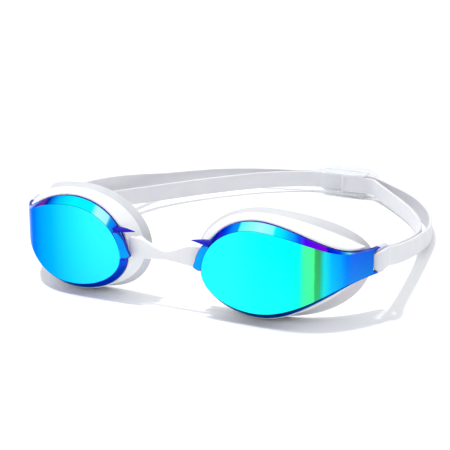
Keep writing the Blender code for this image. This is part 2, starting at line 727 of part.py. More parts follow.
def right_strap_shape(cutters):
    """The strap on the wearer's right, whose outer layer bows out further."""
    start = OUTER_END_GAP / 2 - CLIP_X
    clip_outer = [
        Vector((start, LAYER_Y[2], CLIP_STRAP_Z)),
        Vector((start + 5 * MM, LAYER_Y[2], CLIP_STRAP_Z)),
        Vector((start + 11 * MM, LAYER_Y[2], CLIP_STRAP_Z)),
    ]
    outer_route = route([
        (0.295, 1.006, 2.4), (0.463, 0.989, 2.2), (0.624, 0.963, 2.1), (0.772, 0.922, 2.2),
        (0.893, 0.860, 2.7), (0.983, 0.780, 4.1), (1.031, 0.689, 6.9), (1.050, 0.589, 10.1),
        (1.051, 0.483, 13.0), (1.047, 0.377, 15.2), (1.041, 0.277, 16.6), (1.033, 0.212, 17.4),
    ])
    clip_inner = [
        Vector((-SEAM_X - INNER_OVERLAP, LAYER_Y[1], CLIP_STRAP_Z)),
        Vector((-SEAM_X, LAYER_Y[1], CLIP_STRAP_Z)),
        Vector((6 * MM, LAYER_Y[1], CLIP_STRAP_Z)),
        Vector((11 * MM, LAYER_Y[1], CLIP_STRAP_Z)),
    ]
    inner_route = route([
        (0.262, 0.992, 2.5), (0.383, 0.962, 2.4), (0.497, 0.923, 2.3), (0.603, 0.876, 2.2),
        (0.701, 0.826, 2.2), (0.795, 0.771, 2.3), (0.875, 0.713, 2.6), (0.939, 0.645, 3.5),
        (0.978, 0.565, 5.3), (0.996, 0.471, 7.8), (0.999, 0.365, 10.8), (0.988, 0.265, 14.3),
        (0.979, 0.212, 16.6),
    ])
    return strap_shape(clip_inner, clip_outer, inner_route, outer_route, -1, cutters)


# ---- rear clip -------------------------------------------------------------------------
def pill_outline(width, height):
    """An (x, z) outline with round ends, standing on z = 0."""
    radius = height / 2
    steps = 10
    found = []
    for side in (1, -1):
        for step in range(steps + 1):
            angle = math.radians(-90 + 180 * step / steps)
            x = side * (width / 2 - radius) + side * radius * math.cos(angle)
            found.append((CLIP_X + x, radius + side * radius * math.sin(angle)))
    return found


def clip_shape(cutters):
    """The clear clip: a back plate, two rails and three bars before the strap."""
    clip = plate("clip_plate", pill_outline(CLIP_WIDTH, CLIP_HEIGHT), CHANNEL_BACK_Y, CLIP_PLATE, cutters)
    rail_low = CLIP_STRAP_Z - JOINT_GAP - CLIP_WALL
    rail_high = CLIP_STRAP_Z + STRAP_HEIGHT + JOINT_GAP + CLIP_WALL
    half = CLIP_BODY_WIDTH / 2
    body = box(
        "clip_body", (CLIP_X - half, CHANNEL_FRONT_Y - CLIP_WALL, rail_low),
        (CLIP_X + half, CHANNEL_BACK_Y + CLIP_PLATE / 2, rail_high), cutters,
    )
    boolean(clip, as_cutter(body), "UNION")
    channel = box(
        "clip_channel", (CLIP_X - CLIP_WIDTH, CHANNEL_FRONT_Y, rail_low + CLIP_WALL),
        (CLIP_X + CLIP_WIDTH, CHANNEL_BACK_Y, rail_high - CLIP_WALL), cutters,
    )
    boolean(clip, as_cutter(channel), "DIFFERENCE")
    window_width = (CLIP_BODY_WIDTH - 3 * CLIP_BAR) / 2
    for side in (-1, 1):
        middle = CLIP_X + side * (CLIP_BAR + window_width) / 2
        window = box(
            f"clip_window_{side}",
            (middle - window_width / 2, CHANNEL_FRONT_Y - 2 * CLIP_WALL, rail_low + CLIP_WALL),
            (middle + window_width / 2, CHANNEL_FRONT_Y + CLIP_WALL, rail_high - CLIP_WALL), cutters,
        )
        boolean(clip, as_cutter(window), "DIFFERENCE")
    return as_cutter(clip)


# ---- assembly --------------------------------------------------------------------------
def place(name, source, origin, slot, parts, root, mirrored=False):
    """Make a part from a helper solid, with its origin on its joint's axis."""
    shape = baked_mesh(source)
    if mirrored:
        bmesh.ops.scale(shape, vec=(-1, 1, 1), verts=shape.verts)
        bmesh.ops.reverse_faces(shape, faces=shape.faces)
    bmesh.ops.translate(shape, vec=-origin, verts=shape.verts)
    obj = object_from_bmesh(name, shape, parts)
    obj.data.shade_smooth()
    obj.data.set_sharp_from_angle(angle=math.radians(SHARP_ABOVE))
    obj.data.materials.append(material(slot))
    obj.parent = root
    obj.location = origin
    return obj


def build():
    """Model the whole pair of goggles."""
    clear_scene()
    parts = new_collection("swim_goggles")
    cutters = new_collection("cutters")
    root = bpy.data.objects.new("goggles_root", None)
    parts.objects.link(root)
    root.location = (0.0, -CENTRE_Y, 0.0)

    eye_pieces = [
        ("lens", lens_shape(cutters), "mirror_lens"),
        ("frame", frame_shape(cutters), "frame_white"),
        ("seal", seal_shape(cutters), "seal_white"),
    ]
    for name, source, slot in eye_pieces:
        for side, sign in (("left", 1), ("right", -1)):
            axis = Vector((sign * BEAD_X, BEAD_Y, 0.0))
            place(f"{name}_{side}", source, axis, slot, parts, root, sign < 0)
    place("nose_bridge", bridge_shape(cutters), Vector((0, BEAD_Y, 0)), "bridge_white", parts, root)
    post = post_place()
    straps = (("left", 1, left_strap_shape(cutters)), ("right", -1, right_strap_shape(cutters)))
    for side, sign, source in straps:
        place(f"strap_{side}", source, Vector((sign * post.x, post.y, 0)), "strap_silicone", parts, root)
    clip_origin = Vector((CLIP_X, LAYER_Y[1], 0.0))
    place("strap_clip", clip_shape(cutters), clip_origin, "clip_clear", parts, root)


build()
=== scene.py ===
"""Swim goggles with mirrored wrap-round lenses, white frames, soft seals and a doubled strap.

Shapes are drawn in millimetres in the goggles' own space: y = 0 is the lens rim, the floor is
z = 0 and x = 0 is the mirror plane.  They are turned into metres, in the frame's place, when a
mesh is made.  Around an eye, s runs along the lens from the nose to the temple.
"""

from __future__ import annotations

import logging
import math
from dataclasses import dataclass, field, replace
from enum import Enum
from typing import Iterable, Sequence

import bmesh
import bpy
from mathutils import Matrix, Vector


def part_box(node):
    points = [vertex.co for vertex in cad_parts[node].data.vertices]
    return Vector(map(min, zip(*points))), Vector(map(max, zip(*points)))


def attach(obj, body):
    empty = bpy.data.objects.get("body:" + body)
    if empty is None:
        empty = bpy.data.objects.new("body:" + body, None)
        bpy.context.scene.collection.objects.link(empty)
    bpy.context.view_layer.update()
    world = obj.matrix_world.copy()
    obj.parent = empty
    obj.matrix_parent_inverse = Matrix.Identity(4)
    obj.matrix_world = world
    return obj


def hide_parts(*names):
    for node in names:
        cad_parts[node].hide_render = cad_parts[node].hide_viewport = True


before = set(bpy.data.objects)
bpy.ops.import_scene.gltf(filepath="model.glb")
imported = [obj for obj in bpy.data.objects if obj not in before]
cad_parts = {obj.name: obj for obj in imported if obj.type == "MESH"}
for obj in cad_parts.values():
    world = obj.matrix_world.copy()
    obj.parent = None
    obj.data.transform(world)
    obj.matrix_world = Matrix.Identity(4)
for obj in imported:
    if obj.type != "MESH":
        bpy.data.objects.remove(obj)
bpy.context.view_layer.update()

LOG = logging.getLogger("goggles")
MM = 0.001
Loop = list[Vector]


class Side(Enum):
    """The wearer's own left or right."""

    LEFT = 1
    RIGHT = -1

    @property
    def label(self) -> str:
        """The side's name as node and body names spell it."""
        return self.name.lower()


class OutlineStyle(Enum):
    """How an outline runs on from its widest place to the temple."""

    ARM = "arm"
    ALMOND = "almond"
    ROUND = "round"


# ---- shared geometry -------------------------------------------------------------
@dataclass(frozen=True)
class WrapSurface:
    """The curved surface that both eyepieces follow: flat by the nose, then bent round the head."""

    gap: float = 31.6
    flat: float = 24.5
    radius: float = 36.6

    def turn(self, s: float) -> float:
        """How far the surface has turned back at s, in radians."""
        return max(0.0, s - self.flat) / self.radius

    def at(self, s: float, z: float, depth: float) -> Vector:
        """A point of the wearer's left side.

        Args:
            s: Distance along the lens from the nose.
            z: Height above the floor.
            depth: Distance behind the lens rim, towards the face.

        Returns:
            The point in the goggles' space.
        """
        turn = self.turn(s)
        x = self.gap / 2 + min(s, self.flat) + self.radius * math.sin(turn)
        y = self.radius * (1.0 - math.cos(turn))
        return Vector((x - depth * math.sin(turn), y + depth * math.cos(turn), z))


WRAP = WrapSurface()
LENS_FACE_RISE = 3.3
ORIGIN_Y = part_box("lens_left")[0].y + LENS_FACE_RISE * MM
LENS_LENGTH = 68.2
ARM_TOP_Z = 26.8
ARM_BOTTOM_Z = 16.8
NOSE_Z = 17.7
FRAME_DEPTH = 6.0
JOINT_GAP = 0.3
QUARTER = 44
END_STEPS = 6


@dataclass(frozen=True)
class Outline:
    """A closed outline round one eye, by its four furthest points."""

    nose_s: float
    nose_z: float
    top_s: float
    top_z: float
    bottom_s: float
    bottom_z: float
    end_s: float
    end_top_z: float
    end_bottom_z: float
    style: OutlineStyle
    top_waist_s: float = 63.0
    bottom_waist_s: float = 68.0
    fall: float = 1.0
    chin: float = 1.0

    def inset(self, width: float) -> Outline:
        """The same outline drawn in on every side.

        Args:
            width: How far, or how far out where it is negative.

        Returns:
            The smaller outline.
        """
        return replace(
            self,
            nose_s=self.nose_s + width,
            top_z=self.top_z - width,
            bottom_z=self.bottom_z + width,
            end_s=self.end_s - width,
            end_top_z=self.end_top_z - width / 2,
            end_bottom_z=self.end_bottom_z + width / 2,
        )

    def tail(self, part: float, start_s: float, waist_s: float) -> tuple[float, float]:
        """Where the outline is on its way to the temple.

        Args:
            part: Share of the way, from 0 to 1.
            start_s: Where the way starts.
            waist_s: Where an arm has come down to its own height.

        Returns:
            The place along the lens and the share of height left.
        """
        if self.style is OutlineStyle.ROUND:
            along = math.sin(part * math.pi / 2)
            high = max(0.0, math.cos(part * math.pi / 2))
            if start_s == self.top_s:
                high **= self.fall
            return start_s + (self.end_s - start_s) * along, high
        s = start_s + (self.end_s - start_s) * part
        if self.style is OutlineStyle.ALMOND:
            return s, max(0.0, math.cos(part * math.pi / 2)) ** self.fall
        return s, 0.5 + 0.5 * math.cos(min(1.0, (s - start_s) / (waist_s - start_s)) * math.pi)

    def points(self) -> list[tuple[float, float]]:
        """The outline's (s, z) points, from the nose over the top and back below."""
        found = []
        for step in range(QUARTER):
            angle = step / QUARTER * math.pi / 2
            s = self.top_s - (self.top_s - self.nose_s) * math.cos(angle)
            found.append((s, self.nose_z + (self.top_z - self.nose_z) * math.sin(angle)))
        for step in range(QUARTER):
            s, high = self.tail(step / QUARTER, self.top_s, self.top_waist_s)
            found.append((s, self.end_top_z + (self.top_z - self.end_top_z) * high))
        for step in range(END_STEPS):
            share = step / END_STEPS
            found.append((self.end_s, self.end_top_z + (self.end_bottom_z - self.end_top_z) * share))
        for step in range(QUARTER, 0, -1):
            s, high = self.tail(step / QUARTER, self.bottom_s, self.bottom_waist_s)
            found.append((s, self.end_bottom_z + (self.bottom_z - self.end_bottom_z) * high))
        for step in range(QUARTER, 0, -1):
            angle = step / QUARTER * math.pi / 2
            across = max(0.0, math.cos(angle)) ** self.chin
            s = self.bottom_s - (self.bottom_s - self.nose_s) * across
            found.append((s, self.nose_z + (self.bottom_z - self.nose_z) * math.sin(angle)))
        return found


LENS_OUTLINE = Outline(
    0.0, NOSE_Z, 23.2, 38.8, 22.6, 2.2, LENS_LENGTH, ARM_TOP_Z, ARM_BOTTOM_Z, OutlineStyle.ARM
)
FRAME_BACK_OUTLINE = Outline(
    -4.5, NOSE_Z + 2.0, 23.2, 40.7, 22.6, 1.25, 66.0, 27.9, 15.7, OutlineStyle.ALMOND, fall=0.95
)
SEAL_BACK_OUTLINE = Outline(
    -6.3, NOSE_Z + 2.3, 23.2, 41.5, 26.0, 0.0, 79.5, 21.5, 18.5, OutlineStyle.ROUND,
    fall=1.5, chin=0.7,
)


def rounded(corners: Sequence[Vector], radii: Sequence[float], steps: int = 4) -> Loop:
    """A closed polygon with its corners rounded.

    Args:
        corners: The polygon's corners in order.
        radii: How far each rounding reaches from its corner.
        steps: How many faces a rounding has.

    Returns:
        The points of the rounded polygon.
    """
    found = []
    count = len(corners)
    for index, corner in enumerate(corners):
        before = corners[index - 1] - corner
        after = corners[(index + 1) % count] - corner
        reach = radii[index]
        start = corner + before.normalized() * min(reach, before.length * 0.48)
        stop = corner + after.normalized() * min(reach, after.length * 0.48)
        for step in range(steps + 1):
            t = step / steps
            found.append(start * (1 - t) ** 2 + corner * (2 * t * (1 - t)) + stop * t ** 2)
    return found


def smooth_path(knots: Sequence[Vector], step: float) -> Loop:
    """Points on a smooth curve through knots.

    Args:
        knots: The points that the curve passes.
        step: About how far apart the points are.

    Returns:
        The curve's points.
    """
    ends = [2 * knots[0] - knots[1], *knots, 2 * knots[-1] - knots[-2]]
    found = []
    for index in range(1, len(ends) - 2):
        before, start, stop, after = ends[index - 1:index + 3]
        count = max(1, round((stop - start).length / step))
        for part in range(count):
            t = part / count
            found.append(0.5 * (
                2 * start + (stop - before) * t
                + (2 * before - 5 * start + 4 * stop - after) * t * t
                + (3 * start - before - 3 * stop + after) * t ** 3
            ))
    found.append(knots[-1].copy())
    return found


@dataclass
class Skin:
    """Gathers rings of points into one mesh, with a finish and a place on the surface for each."""

    name: str
    points: list[Vector] = field(default_factory=list)
    places: list[tuple[float, float]] = field(default_factory=list)
    faces: list[tuple[int, ...]] = field(default_factory=list)
    finishes: list[int] = field(default_factory=list)

    def ring(self, points: Iterable[Vector], places: Sequence[tuple[float, float]] = ()) -> list[int]:
        """Adds a ring of points.

        Args:
            points: The ring's points.
            places: Where each is along and up the surface, in millimetres.

        Returns:
            The numbers of the new points.
        """
        start = len(self.points)
        self.points.extend(points)
        count = len(self.points) - start
        self.places.extend(places or [(0.0, 0.0)] * count)
        return list(range(start, start + count))

    def face(self, corners: Sequence[int], finish: int = 0) -> None:
        """Adds one face.

        Args:
            corners: Its corners' numbers.
            finish: Which of the mesh's finishes it takes.
        """
        self.faces.append(tuple(corners))
        self.finishes.append(finish)

    def join(self, here: Sequence[int], there: Sequence[int], finish: int = 0,
             closed: bool = True, lower: int | None = None) -> None:
        """Adds the faces between two rings.

        Args:
            here: One ring.
            there: The next ring, of as many points.
            finish: Which finish the faces take.
            closed: Whether the rings close on themselves.
            lower: Which finish the second half of the ring takes, if another.
        """
        count = len(here)
        for index in range(count if closed else count - 1):
            following = (index + 1) % count
            below = lower is not None and index >= count // 2
            self.face((here[index], here[following], there[following], there[index]),
                      lower if below else finish)

    def loft(self, loops: Sequence[Loop], finish: int = 0, capped: bool = True) -> None:
        """Adds a tube through closed loops.

        Args:
            loops: Cross-sections, all of as many points.
            finish: Which finish the faces take.
            capped: Whether both ends are closed, or else joined to each other.
        """
        rings = [self.ring(loop) for loop in loops]
        for here, there in zip(rings, rings[1:]):
            self.join(here, there, finish)
        if capped:
            self.face(rings[0], finish)
            self.face(rings[-1], finish)
        else:
            self.join(rings[-1], rings[0], finish)

    def build(self, materials: Sequence[bpy.types.Material], side: Side = Side.LEFT,
              sharp: float = 40.0) -> bpy.types.Object:
        """Makes the mesh object in the frame's place.

        Args:
            materials: The finishes, in the order of their numbers.
            side: The side of the face; the right side is the mirror of the left.
            sharp: Edges that turn more than this many degrees stay sharp.

        Returns:
            The new object.
        """
        shape = bmesh.new()
        made = [shape.verts.new((p.x * side.value * MM, p.y * MM + ORIGIN_Y, p.z * MM)) for p in self.points]
        layer = shape.loops.layers.uv.new("UVMap")
        for corners, finish in zip(self.faces, self.finishes):
            new = shape.faces.new([made[corner] for corner in corners])
            new.material_index = finish
            for loop, corner in zip(new.loops, corners):
                loop[layer].uv = Vector(self.places[corner]) * 0.01
        bmesh.ops.recalc_face_normals(shape, faces=shape.faces)
        return mesh_object(self.name, shape, materials, sharp)


def mesh_object(name: str, shape: bmesh.types.BMesh, materials: Sequence[bpy.types.Material],
                sharp: float = 40.0) -> bpy.types.Object:
    """Turns a bmesh into a shown object.

    Args:
        name: The object's name.
        shape: The mesh, in metres in the frame's place; it is freed.
        materials: The finishes.
        sharp: Edges that turn more than this many degrees stay sharp.

    Returns:
        The new object.
    """
    mesh = bpy.data.meshes.new(name)
    shape.to_mesh(mesh)
    shape.free()
    mesh.shade_smooth()
    mesh.set_sharp_from_angle(angle=math.radians(sharp))
    for material in materials:
        mesh.materials.append(material)
    made = bpy.data.objects.new(name, mesh)
    bpy.context.scene.collection.objects.link(made)
    return made


def settle(piece: bpy.types.Object, body: str, slot: str, *nodes: str) -> None:
    """Hands a finished piece to the frame and reports it.

    Args:
        piece: The piece, in place.
        body: The body that it rides on.
        slot: The record's material slot; not used.
        nodes: The CAD nodes that it stands for.
    """
    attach(piece, body)
    if nodes:
        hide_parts(*nodes)
    LOG.info("%s rides on %s with %d faces", piece.name, body, len(piece.data.polygons))


# ---- finishes --------------------------------------------------------------------
def linear(code: str) -> tuple[float, float, float, float]:
    """A colour for the shader.

    Args:
        code: Six hexadecimal digits of a display colour.

    Returns:
        The linear colour with full opacity.
    """
    shares = [int(code[place:place + 2], 16) / 255 for place in (0, 2, 4)]
    r, g, b = [c / 12.92 if c <= 0.04045 else ((c + 0.055) / 1.055) ** 2.4 for c in shares]
    return r, g, b, 1.0


@dataclass(frozen=True)
class Stop:
    """One colour at a place along a lens, in millimetres from the nose."""

    place: float
    colour: str


class Graph:
    """The nodes of one material."""

    def __init__(self, name: str) -> None:
        """Starts a material with a Principled shader.

        Args:
            name: The material's name.
        """
        self.material = bpy.data.materials.new(name)
        self.material.use_nodes = True
        self.tree = self.material.node_tree
        self.shader = self.tree.nodes["Principled BSDF"]

    def node(self, kind: str, settings: dict[str, object] | None = None,
             **inputs: object) -> bpy.types.Node:
        """Adds a node.

        Args:
            kind: The node's type.
            settings: Its own properties.
            inputs: Values or sockets for its inputs, named with _ for spaces.

        Returns:
            The new node.
        """
        made = self.tree.nodes.new(kind)
        for key, value in (settings or {}).items():
            setattr(made, key, value)
        for key, value in inputs.items():
            self.feed(made.inputs[key.replace("_", " ")], value)
        return made

    def feed(self, socket: bpy.types.NodeSocket, value: object) -> None:
        """Links a socket to another, or sets its value.

        Args:
            socket: The input.
            value: An output socket or a plain value.
        """
        if isinstance(value, bpy.types.NodeSocket):
            self.tree.links.new(value, socket)
        else:
            socket.default_value = value

    def noise(self, size: float, detail: float = 3.0,
              stretch: Sequence[float] = (1, 1, 1)) -> bpy.types.NodeSocket:
        """A noise over the piece.

        Args:
            size: How large its patches are, in millimetres.
            detail: How many finer layers it has.
            stretch: How much each axis is squeezed.

        Returns:
            The noise's value.
        """
        coordinates = self.node("ShaderNodeTexCoord").outputs["Object"]
        mapped = self.node("ShaderNodeMapping", Vector=coordinates, Scale=tuple(stretch))
        made = self.node("ShaderNodeTexNoise", Vector=mapped.outputs["Vector"],
                         Scale=1.0 / (size * MM), Detail=detail)
        return made.outputs["Fac"]

    def between(self, value: bpy.types.NodeSocket, low: float, high: float,
                start: float = 0.3, stop: float = 0.7) -> bpy.types.NodeSocket:
        """Spreads a value between two limits.

        Args:
            value: The value.
            low: What start becomes.
            high: What stop becomes.
            start: The value's lower end.
            stop: The value's upper end.

        Returns:
            The spread value.
        """
        made = self.node("ShaderNodeMapRange", Value=value)
        for name, number in (("From Min", start), ("From Max", stop), ("To Min", low), ("To Max", high)):
            made.inputs[name].default_value = number
        return made.outputs["Result"]

    def mixed(self, share: object, one: object, other: object,
              kind: str = "MIX") -> bpy.types.NodeSocket:
        """Mixes two colours.

        Args:
            share: How much of the second.
            one: The first colour.
            other: The second colour.
            kind: The way of mixing.

        Returns:
            The mixed colour.
        """
        made = self.node("ShaderNodeMix", {"data_type": "RGBA", "blend_type": kind})
        self.feed(made.inputs[0], share)
        self.feed(made.inputs[6], one)
        self.feed(made.inputs[7], other)
        return made.outputs[2]

    def ramp(self, value: bpy.types.NodeSocket, stops: Sequence[Stop], length: float) -> bpy.types.NodeSocket:
        """Colours along a value.

        Args:
            value: The value, from 0 to 1.
            stops: The colours, in order.
            length: What the places of the stops are shares of.

        Returns:
            The colour.
        """
        made = self.node("ShaderNodeValToRGB", Fac=value)
        elements = made.color_ramp.elements
        elements[0].position = stops[0].place / length
        elements[0].color = linear(stops[0].colour)
        elements[1].position = stops[-1].place / length
        elements[1].color = linear(stops[-1].colour)
        for stop in stops[1:-1]:
            elements.new(stop.place / length).color = linear(stop.colour)
        return made.outputs["Color"]

    def relief(self, height: bpy.types.NodeSocket, strength: float, depth: float) -> None:
        """Gives the surface a fine relief.

        Args:
            height: The relief's height.
            strength: How strong it is.
            depth: How deep it is, in millimetres.
        """
        bump = self.node("ShaderNodeBump", Height=height, Strength=strength, Distance=depth * MM)
        self.feed(self.shader.inputs["Normal"], bump.outputs["Normal"])


@dataclass(frozen=True)
class MouldedFinish:
    """A moulded plastic or silicone, a little mottled, with a fine grain and rubbed patches."""

    name: str
    colour: str
    mottle: str
    roughness: float
    rubbed: float
    grain: float = 0.25
    relief: float = 0.12
    mottle_size: float = 9.0
    stretch: tuple[float, float, float] = (1.0, 1.0, 1.0)
    constants: tuple[tuple[str, float], ...] = ()

    def material(self) -> bpy.types.Material:
        """The finish as a material."""
        known = bpy.data.materials.get(self.name)
        if known:
            return known
        graph = Graph(self.name)
        clouds = graph.between(graph.noise(self.mottle_size, 4.0, self.stretch), 0.0, 1.0)
        specks = graph.between(graph.noise(0.7, 2.0), 0.0, 0.35, 0.62, 0.75)
        base = graph.mixed(clouds, linear(self.colour), linear(self.mottle))
        base = graph.mixed(specks, base, linear(self.mottle))
        graph.feed(graph.shader.inputs["Base Color"], base)
        rubbed = graph.between(graph.noise(3.5, 5.0, self.stretch), self.roughness, self.rubbed)
        graph.feed(graph.shader.inputs["Roughness"], rubbed)
        graph.relief(graph.noise(self.grain, 4.0, self.stretch), self.relief, 0.05)
        for key, value in self.constants:
            graph.shader.inputs[key].default_value = value
        return graph.material


@dataclass(frozen=True)
class CoatWithPaintedReflections:
    """A thin mirror coating whose colour turns along the lens; its ramp paints the studio's reflections,
    highlight patches and glancing sheen together with the coating's tint.
    """

    name: str
    stops: tuple[Stop, ...]
    low_tint: str
    low_share: float
    roughness: float = 0.10
    hazed: float = 0.17
    length: float = 100.0
    glance: str = "9CC4FF"

    def material(self) -> bpy.types.Material:
        """The finish as a material."""
        graph = Graph(self.name)
        place = graph.node("ShaderNodeUVMap", {"uv_map": "UVMap"}).outputs["UV"]
        axes = graph.node("ShaderNodeSeparateXYZ", Vector=place)
        ripple = graph.between(graph.noise(6.0, 3.0), -0.0012, 0.0012)
        along = graph.node("ShaderNodeMath", {"operation": "ADD"})
        graph.feed(along.inputs[0], axes.outputs["X"])
        graph.feed(along.inputs[1], ripple)
        # Painted reflections: the ramp along the lens lays the studio's reflections, hard-edged highlight
        # patches and pale glancing sheen over the coating's tint; the ripple wobbles these painted
        # reflections.
        colour = graph.ramp(along.outputs["Value"], self.stops, self.length)
        low = graph.between(axes.outputs["Y"], self.low_share, 0.0, 0.02, 0.30)
        colour = graph.mixed(low, colour, linear(self.low_tint))
        dust = graph.between(graph.noise(0.45, 2.0), 0.0, 0.10, 0.66, 0.78)
        colour = graph.mixed(dust, colour, linear("DDE8FF"))
        graph.feed(graph.shader.inputs["Base Color"], colour)
        smears = graph.between(graph.noise(5.0, 5.0, (1.0, 1.0, 0.35)), self.roughness, self.hazed)
        graph.feed(graph.shader.inputs["Roughness"], smears)
        graph.relief(graph.noise(1.6, 2.0), 0.03, 0.02)
        graph.shader.inputs["Metallic"].default_value = 1.0
        graph.shader.inputs["Specular Tint"].default_value = linear(self.glance)
        return graph.material


def stops(*pairs: tuple[float, str]) -> tuple[Stop, ...]:
    """Colour stops from pairs of a place and a colour."""
    return tuple(Stop(place, colour) for place, colour in pairs)


# Each side's colour stops paint the coating's tint together with painted reflections: the left face's green
# band and dark stripe, the bevels' hard-edged pale and violet highlight patches, and the pale glancing sheen
# towards the right lens's temple.
FACE_TINT_AND_PAINTED_REFLECTION = {
    Side.LEFT: CoatWithPaintedReflections(
        "mirror_face_left",
        stops((6, "1CE6FA"), (14, "1CEAFA"), (20, "12EEF8"), (26, "08F0F0"), (32, "04F2EA"),
              (36, "00F4E4"), (38.6, "04F2D4"), (39.9, "3CFF9A"), (43.2, "44FF8A"), (43.8, "319B50"),
              (45.5, "2F9658"), (46.4, "16B4B4"), (47.2, "16C9CE"), (50, "019EEC"), (53, "008AE6"),
              (56, "025CDE"), (59, "1A50D6"), (65, "164CCC"), (72, "1648C0")),
        "30FFB0", 0.22,
    ),
    Side.RIGHT: CoatWithPaintedReflections(
        "mirror_face_right",
        stops((8, "28E6F8"), (14, "24E2F8"), (20, "1AD8F6"), (23, "14D0F6"), (26, "10C4F6"),
              (29, "0AB6F4"), (32, "06A8F2"), (38, "0096EC"), (41, "008CEC"), (44, "0070E4"),
              (47, "0360D4"), (51, "2A60CC"), (54, "5C7CCC"), (57, "A4AEDD"), (68, "DCE2F8")),
        "10A8F0", 0.30,
    ),
}
UPPER_BEVEL_TINT_AND_PAINTED_REFLECTION = {
    Side.LEFT: CoatWithPaintedReflections(
        "mirror_bevel_upper_left",
        stops((3, "001FAE"), (5.8, "003FD8"), (6.8, "0019BC"), (7.9, "5616FF"), (9.1, "2024F7"),
              (11.6, "004CF8"), (12.9, "0073F5"), (14.3, "088CFF"), (16.2, "0097E5"), (16.7, "4FFDFF"),
              (20, "7FFCF4"), (25, "A7FCFF"), (29.4, "7FFDFF"), (30.0, "00F8FA"), (32.6, "00E1FF"),
              (34.5, "05B9FF"), (36.3, "099DFF"), (38.2, "0450FB"), (40.3, "5104F4"), (47.8, "7C00DF"),
              (48.4, "0000C4"), (53.2, "0735FD"), (55.1, "10AAEA"), (57, "78FBFF"), (58.8, "6BB7FF"),
              (62, "4C76D8")),
        "0A2AE0", 0.0,
    ),
    Side.RIGHT: CoatWithPaintedReflections(
        "mirror_bevel_upper_right",
        stops((0.6, "09CBFF"), (2.4, "26A6FF"), (3.9, "224CD4"), (4.8, "0778F8"), (6.8, "07A1E9"),
              (7.4, "A0F8FF"), (11.6, "B1FDFB"), (13.1, "6BF7F8"), (13.5, "05F5FC"), (22, "05F5FC"),
              (25, "00E5FF"), (28.8, "03C2FF"), (30.7, "03A1F8"), (32.6, "0175FF"), (34.5, "0C00B5"),
              (36.3, "9943F0"), (38.2, "E226DD"), (40.1, "C43FFA"), (42, "3800D0"), (44.5, "1100C7"),
              (47.6, "926CE5"), (49.5, "9A7FD0"), (51.5, "E6E4FA"), (66, "F0F2FF")),
        "0A2AE0", 0.0,
    ),
}
LOWER_BEVEL_TINT_AND_PAINTED_REFLECTION = {
    Side.LEFT: CoatWithPaintedReflections(
        "mirror_bevel_lower_left",
        stops((1, "001AA8"), (8, "00107A"), (20, "001273"), (34, "002A8C"), (46, "0049A2"),
              (56, "0A3FB8"), (66, "1744C0")),
        "00104C", 0.12,
    ),
    Side.RIGHT: CoatWithPaintedReflections(
        "mirror_bevel_lower_right",
        stops((1, "1347CF"), (10, "072EC7"), (22, "0526A6"), (34, "0A30B4"), (44, "4458C8"),
              (54, "B9BFE8"), (66, "DADFF6")),
        "00208C", 0.10,
    ),
}
EDGE_NAVY = MouldedFinish(
    "lens_edge_navy", "0A1E9E", "1230C0", 0.24, 0.34, constants=(("Metallic", 0.35),)
)
BACK_SMOKE = MouldedFinish(
    "lens_back_smoke", "16233F", "1B2E55", 0.08, 0.16, constants=(("Coat Weight", 0.4),)
)
TAB_AZURE = MouldedFinish(
    "lens_tab_azure", "0B98F0", "0784DE", 0.12, 0.2, constants=(("Metallic", 1.0),)
)
HORN_BLUE = MouldedFinish(
    "lens_horn_blue", "1226C4", "2C12B8", 0.16, 0.26, mottle_size=4.0, constants=(("Metallic", 0.75),),
)
ARM_BLUE = MouldedFinish(
    "lens_arm_blue", "184FCF", "143FC0", 0.12, 0.2, constants=(("Metallic", 1.0),)
)
PRONG_CLEAR = MouldedFinish(
    "prong_clear", "E4E6FA", "CFD2F2", 0.08, 0.2,
    constants=(("Transmission Weight", 0.15), ("IOR", 1.46), ("Coat Weight", 0.3)),
)
FRAME_SATIN = MouldedFinish(
    "frame_satin_white", "EEEFF1", "E8E9EC", 0.30, 0.44, constants=(("Coat Weight", 0.15),)
)
SEAL_SOFT = MouldedFinish(
    "seal_soft_silicone", "CFD1D5", "C7CACF", 0.42, 0.58, 0.3, 0.16,
    constants=(("Subsurface Weight", 0.25), ("Subsurface Scale", 0.003), ("Sheen Weight", 0.15)),
)
BRIDGE_SOFT = MouldedFinish(
    "bridge_soft_silicone", "EEEFF1", "E7E8EB", 0.34, 0.5, 0.3, 0.14,
    constants=(("Subsurface Weight", 0.2), ("Subsurface Scale", 0.002)),
)
STRAP_SOFT = MouldedFinish(
    "strap_soft_silicone", "DADBDF", "D6D7DC", 0.42, 0.6, 0.35, 0.2,
    constants=(("Subsurface Weight", 0.2), ("Subsurface Scale", 0.002), ("Sheen Weight", 0.2)),
)
CLIP_CLEAR = MouldedFinish(
    "clip_clear", "DCE0E8", "CED4DF", 0.04, 0.12,
    constants=(("Transmission Weight", 0.95), ("IOR", 1.42)),
)
FLOOR_WHITE = MouldedFinish(
    "floor_white", "FAFBFC", "F7F8FA", 0.6, 0.7, mottle_size=60.0
)


# ---- eyepieces -------------------------------------------------------------------
def inward(points: Sequence[tuple[float, float]], index: int) -> Vector:
    """The direction into an outline at one of its points.

    Args:
        points: The outline.
        index: Which point.

    Returns:
        A unit (s, z) direction.
    """
    before = Vector(points[index - 1])
    after = Vector(points[(index + 1) % len(points)])
    along = (after - before).normalized()
    return Vector((along.y, -along.x))


TAB_CORNERS = (
    (2.0, 10.3), (0.2, 7.9), (-1.0, 5.5), (-1.7, 3.0), (-2.7, 0.9),
    (-1.2, 0.1), (0.4, -0.2), (2.4, 0.8), (2.8, 5.0), (4.8, 10.2),
)
HORN_CORNERS = (
    (-4.0, -0.7, 10.85), (-4.0, -0.5, 10.4), (-0.3, -0.1, 11.4), (4.6, 0.0, 11.9),
    (4.6, 0.0, 10.7), (5.2, -2.3, 11.2), (5.2, -2.3, 10.2), (2.0, -2.3, 10.5), (2.0, -2.3, 10.0),
)


